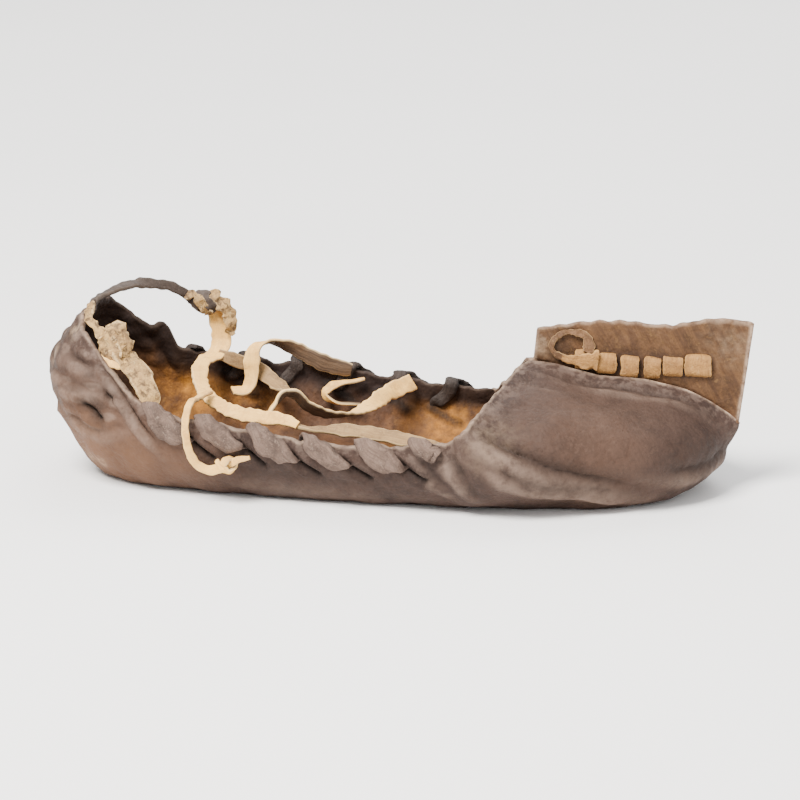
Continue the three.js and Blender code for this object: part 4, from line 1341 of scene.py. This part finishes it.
# The hide: mauve-brown hair side, amber flesh side, tan streaky fin, whitish cut edges.
def hideFinish():
    material, tree, shader, place = newFinish("old raw hide")

    def stain(base, dark, pale, size):
        sockets = {"Place": place, "Base": base, "Dark": dark, "Pale": pale, "Patch size": size}
        return useGroup(tree, stainGroup, sockets)

    def masked(name, scale, low, high):
        cloud = ramp(tree, noise(tree, place, scale, 5.0, 0.62), low, high)
        return times(tree, attribute(tree, name), cloud)

    def fibres(degrees, long, across):
        sockets = {"Vector": place, "Rotation": (0.0, math.radians(degrees), 0.0)}
        turned = put(tree, "ShaderNodeMapping", sockets).outputs[0]
        return useGroup(tree, fibreGroup, {"Place": turned, "Long": long, "Across": across})

    outer = stain(paint(65, 49, 42), paint(42, 31, 27), paint(90, 70, 60), 42.0)
    inner = stain(paint(100, 68, 46), paint(50, 34, 26), paint(134, 96, 64), 44.0)
    amber = stain(paint(188, 124, 44), paint(104, 62, 26), paint(218, 156, 68), 60.0)
    leaf = stain(paint(94, 66, 42), paint(58, 40, 26), paint(132, 97, 58), 75.0)
    streaks = fibres(-62, 55.0, 420.0)
    leafTone = over(tree, leaf["Colour"], streaks["Streak"], 0.65, paint(58, 39, 27))
    drag = fibres(-62, 120.0, 700.0)
    outerTone = over(tree, outer["Colour"], drag["Streak"], 0.35, paint(48, 36, 31))
    tan = blend(tree, outer["Patches"], paint(128, 92, 66), paint(90, 65, 50))
    outerTone = blend(tree, attribute(tree, "warm"), outerTone, tan)
    outerTone = over(tree, outerTone, masked("edgeNear", 260.0, 0.42, 0.6), 0.5, paint(112, 94, 84))
    # painted highlight on the ridges beside creases and on the heel's fold tops
    outerTone = over(tree, outerTone, masked("lip", 170.0, 0.2, 0.6), 0.75, paint(138, 116, 102))
    innerTone = blend(tree, masked("amber", 90.0, 0.2, 0.6), inner["Colour"], amber["Colour"])
    runs = fibres(80, 34.0, 190.0)
    innerTone = over(tree, innerTone, runs["Streak"], 0.5, paint(56, 35, 25))
    # painted shade inside the shoe, below the rim and high in the heel
    innerTone = over(tree, innerTone, masked("innerShade", 120.0, 0.02, 0.4), 0.94, paint(34, 25, 23))
    colour = blend(tree, attribute(tree, "flesh"), outerTone, innerTone)
    colour = blend(tree, attribute(tree, "fin"), colour, leafTone)
    # dark stains outside and on the fin, painted shade on the inner side
    colour = over(tree, colour, masked("stainAndShade", 120.0, 0.25, 0.7), 0.85, paint(40, 28, 22))
    colour = over(tree, colour, masked("pale", 330.0, 0.3, 0.75), 1.0, paint(200, 172, 140))
    # painted shade in crease troughs, round the slits and in the heel's folds
    colour = over(tree, colour, attribute(tree, "creviceShade"), 0.7, paint(40, 31, 26))
    edgeNoise = ramp(tree, noise(tree, place, 300.0, 4.0, 0.6), 0.35, 0.7)
    edgeTone = blend(tree, edgeNoise, paint(206, 178, 152), paint(112, 86, 70))
    colour = over(tree, colour, attribute(tree, "cut"), 0.85, edgeTone)
    # painted shade: near black where the slits' gaps would show, since the hide is not cut through
    colour = over(tree, colour, attribute(tree, "slit"), 0.97, paint(16, 11, 9))
    tree.links.new(colour, shader.inputs["Base Color"])
    grain = useGroup(tree, grainGroup, {"Place": place, "Pore size": 620.0, "Wrinkle": 1.5})
    tree.links.new(ramp(tree, grain["Height"], 0.6, 1.2, (0.88, 0.68)), shader.inputs["Roughness"])
    height = plus(tree, grain["Height"], times(tree, streaks["Height"], 0.6))
    bumpInto(tree, shader, height, 0.6, 0.9 * mm)
    shader.inputs["Specular IOR Level"].default_value = 0.2
    return material


def addHide():
    mesh = bpy.data.meshes.new("hide")
    mesh.from_pydata(points * mm, [], faces)
    for name, layer in values.items():
        setValues(mesh, name, layer)
    mesh.materials.append(hideFinish())
    mesh.polygons.foreach_set("use_smooth", np.ones(len(mesh.polygons), bool))
    mesh.update()
    piece = newObject("hide_shell", mesh)
    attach(piece, "root")
    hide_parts("hide")
    return piece


hide = addHide()
print("hide made:", len(hide.data.polygons), "faces")

# Knots, tied from short strips round the ends they hold. Rows as in the laces.
knotLook = {
    "step": 0.6,
    "crumple": 0.3,
    "lumpSize": 4.5,
    "section": {"Edge waver": 0.12, "Waver size": 420.0, "Cupping": 0.35},
}
knots = {
    "toe_loop": {
        "slot": "toe_thong",
        "stands": "toe_thong_end",
        "finish": loopFinish,
        "wide": 3.0,
        "thick": 1.4,
        "seed": 10,
        "route": [
            (70.0, -1.4, 50.0, 0, -1, 0, 1.3),
            (70.4, -0.8, 52.8, 0, -1, 0, 1.35),
            (69.4, -0.4, 55.6, 0.1, -1, 0.2, 1.2),
            (66.6, -0.1, 57.2, 0, -1, 0.3, 0.9),
            (63.0, -0.1, 57.4, 0, -1, 0.3, 0.75),
            (59.6, -0.2, 56.2, -0.1, -1, 0.2, 0.7),
            (57.0, -0.5, 53.8, -0.2, -1, 0, 0.7),
            (56.8, -0.8, 50.8, -0.1, -1, 0, 0.7),
            (59.2, -1.1, 48.6, 0, -1, -0.1, 0.8),
            (62.5, -1.3, 47.8, 0, -1, 0, 0.8),
        ],
    },
    "toe_bow": {
        "slot": "toe_thong",
        "stands": "toe_thong_end",
        "finish": toeFinish,
        "wide": 4.0,
        "thick": 1.2,
        "seed": 11,
        "route": [
            (60.4, -1.7, 48.0, 0, -1, 0.1, 0.5),
            (64.4, -2.2, 47.5, 0, -1, 0.1, 0.85),
            (68.6, -2.6, 47.3, 0, -1, 0, 1.3),
            (72.0, -2.7, 47.3, 0, -1, 0, 1.75),
            (73.8, -2.4, 47.3, 0.3, -1, 0, 1.85),
        ],
    },
    "far_knot_wrap": {
        "stands": "far_ankle_knot",
        "slot": "dark_thong",
        "finish": darkFinish,
        "wide": 4.0,
        "thick": 1.8,
        "crumple": 0.4,
        "seed": 41,
        "route": [
            (-87, 37.6, 56.4, -0.4, -0.6, 0.8, 0.8),
            (-84.6, 36.4, 55.4, -0.2, -1, 0.2, 1.0),
            (-82.4, 36.4, 52.8, 0.2, -1, -0.3, 1.0),
            (-80.4, 38.8, 51.2, 0.6, -0.2, -1, 1.0),
            (-79.6, 42, 52.6, 0.6, 1, -0.2, 1.0),
            (-80.4, 42.4, 55.6, 0.3, 1, 0.6, 1.0),
            (-81.2, 39.6, 57.4, 0, 0, 1, 1.0),
            (-80.4, 36.6, 56.2, 0.1, -1, 0.4, 1.1),
            (-78.2, 36.4, 53.4, 0.4, -1, 0, 1.0),
            (-77.2, 38, 50.8, 0.6, -0.8, -0.4, 0.7),
        ],
    },
    "far_knot_band": {
        "stands": "far_ankle_knot",
        "finish": mottledFinish,
        "wide": 3.4,
        "thick": 1.5,
        "crumple": 0.4,
        "seed": 42,
        "route": [
            (-89.4, 36.4, 57.6, -0.5, -0.8, 0.6, 0.5),
            (-86.8, 36, 57.2, -0.2, -1, 0.5, 0.8),
            (-84, 35.4, 57.4, 0, -0.8, 0.9, 0.9),
            (-82, 35.2, 55.2, 0.1, -1, 0, 1.0),
            (-80, 35.4, 52.2, 0.2, -1, -0.1, 1.0),
            (-78, 37.2, 49.8, 0.2, -0.8, -0.7, 0.7),
        ],
    },
    "far_knot_tail": {
        "stands": "far_ankle_knot",
        "finish": mottledFinish,
        "wide": 4.8,
        "thick": 1.4,
        "crumple": 0.5,
        "seed": 43,
        "route": [
            (-80, 39.4, 56.6, 0, -0.6, 1, 0.8),
            (-77, 39, 56.4, 0.4, -0.7, 0.9, 1.0),
            (-73.6, 38.8, 53.2, 0.6, -0.8, 0.6, 1.1),
            (-71, 38.6, 49.4, 0.6, -0.9, 0.3, 1.1),
            (-70.4, 38.2, 45.6, 0.5, -1, 0.1, 0.95),
            (-71.4, 37.8, 41.8, 0.3, -1, 0, 0.6),
        ],
    },
    "near_knot_wrap": {
        "stands": "near_ankle_knot",
        "finish": mottledFinish,
        "wide": 5.0,
        "thick": 1.8,
        "crumple": 0.5,
        "seed": 44,
        "route": [
            (-106.4, -25.4, 50.6, -0.6, -0.4, -0.6, 0.8),
            (-104.6, -28.8, 49.4, -0.3, -1, -0.2, 1.0),
            (-100.6, -30.2, 50.4, 0.3, -1, 0, 1.1),
            (-98, -28, 52.6, 1, -0.4, 0.2, 1.0),
            (-98.6, -24.8, 54.6, 0.6, 0.6, 0.6, 1.0),
            (-102, -23.6, 55.6, -0.2, 0.6, 0.9, 1.0),
            (-105, -25.6, 54.4, -0.8, -0.2, 0.5, 1.0),
            (-104.8, -28.8, 52.6, -0.5, -1, 0.2, 1.2),
            (-101.4, -30.4, 53.6, 0.2, -1, 0.3, 1.2),
            (-98.6, -28.6, 56, 0.6, -0.6, 0.8, 0.7),
        ],
    },
    "near_knot_folds": {
        "stands": "near_ankle_knot",
        "finish": mottledFinish,
        "wide": 6.6,
        "thick": 1.4,
        "crumple": 0.6,
        "seed": 45,
        "route": [
            (-105.4, -27.4, 48.6, -0.3, -0.9, 0.2, 0.7),
            (-104.4, -29, 52, -0.2, -1, 0.2, 1.0),
            (-103, -28.6, 56.4, 0, -1, 0.2, 1.15),
            (-101, -28.2, 58.6, 0.3, -0.8, 0.5, 1.1),
            (-98.8, -28.6, 56.8, 0.8, -0.7, 0.3, 1.1),
            (-97.6, -29.6, 53.2, 0.8, -0.8, 0.1, 1.0),
            (-97.4, -30.2, 49.6, 0.7, -0.9, 0, 0.8),
        ],
    },
    "near_knot_roll": {
        "stands": "near_ankle_knot",
        "finish": creamFinish,
        "wide": 2.8,
        "thick": 2.2,
        "crumple": 0.35,
        "seed": 47,
        "route": [
            (-108.4, -27.6, 49.4, -0.5, -1, 0.2, 0.7),
            (-106.2, -29.4, 48.2, -0.3, -1, 0.3, 1.1),
            (-103, -30.8, 47.4, 0, -1, 0.3, 1.1),
            (-99.6, -31.2, 47.2, 0.2, -1, 0.4, 1.1),
            (-96.6, -30.6, 46.6, 0.5, -1, 0.3, 0.7),
        ],
    },
    "loop_knot": {
        "stands": "hanging_loop",
        "finish": creamFinish,
        "wide": 2.6,
        "thick": 1.4,
        "seed": 46,
        "route": [
            (-60.6, -48.8, 17.8, -0.4, -1, 0.4, 0.6),
            (-59.2, -49.2, 16.2, -0.3, -1, 0.2, 0.9),
            (-57.2, -50, 14.4, 0, -1, -0.3, 1.1),
            (-55, -49, 13.6, 0.4, -0.4, -1, 1.0),
            (-54, -46.8, 15, 0.9, 0.4, 0, 0.9),
            (-54.8, -47, 17.4, 0.4, 0.3, 1, 0.9),
            (-56.6, -49.4, 17.6, 0, -0.7, 0.8, 1.0),
            (-58, -50.2, 15.8, -0.6, -0.9, 0, 0.9),
        ],
    },
}


def tieKnot(name, knot):
    rows, run = smoothRoute(knot["route"], knotLook["step"])
    pinch = 1 + 0.12 * np.sin(run * 1.1 + knot["seed"]) + 0.08 * np.sin(run * 2.7)
    face, wide = unit(rows[:, 3:6]), knot["wide"] * rows[:, 6] * pinch
    leather, seed = knot["finish"], knot["seed"]
    piece = stripPiece(name, rows[:, :3], face, wide, knot["thick"], leather, seed, knotLook["section"])
    crumple(piece, knot.get("crumple", knotLook["crumple"]), knotLook["lumpSize"], seed)
    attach(piece, "root")
    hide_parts(knot["stands"])


for knotName, knotRow in knots.items():
    tieKnot(knotName, knotRow)
print("knots tied:", len(knots))


# Floor and lights.
def floorFinish():
    material, tree, shader, place = newFinish("pale studio floor")
    tone = ramp(tree, noise(tree, place, 3.0, 3.0), 0.3, 0.7)
    tree.links.new(blend(tree, tone, paint(247, 246, 245), paint(250, 249, 248)), shader.inputs["Base Color"])
    shader.inputs["Roughness"].default_value = 0.85
    return material


studio = {
    "floor": 3.0,
    "sky": (1.0, 1.0, 1.0, 1.0),
    "skyStrength": 0.95,
    # name, place in metres, size, power, colour
    "lamps": [
        ("key", (-0.5, -0.8, 1.4), 0.7, 82.0, (1.0, 0.97, 0.93)),
        ("fill", (0.9, -0.8, 0.7), 1.0, 6.0, (1.0, 0.99, 0.98)),
        ("back", (0.1, 1.1, 1.1), 1.0, 16.0, (1.0, 1.0, 1.0)),
    ],
}


def addStudio(setup):
    size = setup["floor"]
    corners = [(-size, -size, 0), (size, -size, 0), (size, size, 0), (-size, size, 0)]
    mesh = bpy.data.meshes.new("floor")
    mesh.from_pydata(corners, [], [(0, 1, 2, 3)])
    mesh.materials.append(floorFinish())
    floor = newObject("floor", mesh)
    world = bpy.data.worlds.new("studio")
    world.use_nodes = True
    world.node_tree.nodes["Background"].inputs["Color"].default_value = setup["sky"]
    world.node_tree.nodes["Background"].inputs["Strength"].default_value = setup["skyStrength"]
    scene.world = world
    for name, place, across, power, tint in setup["lamps"]:
        data = bpy.data.lights.new(name, "AREA")
        data.size, data.energy, data.color = across, power, tint
        lamp = newObject(name, data)
        lamp.location = place
        lamp.rotation_euler = (Vector((0, 0, 0.03)) - Vector(place)).to_track_quat("-Z", "Y").to_euler()


addStudio(studio)
print("studio set")
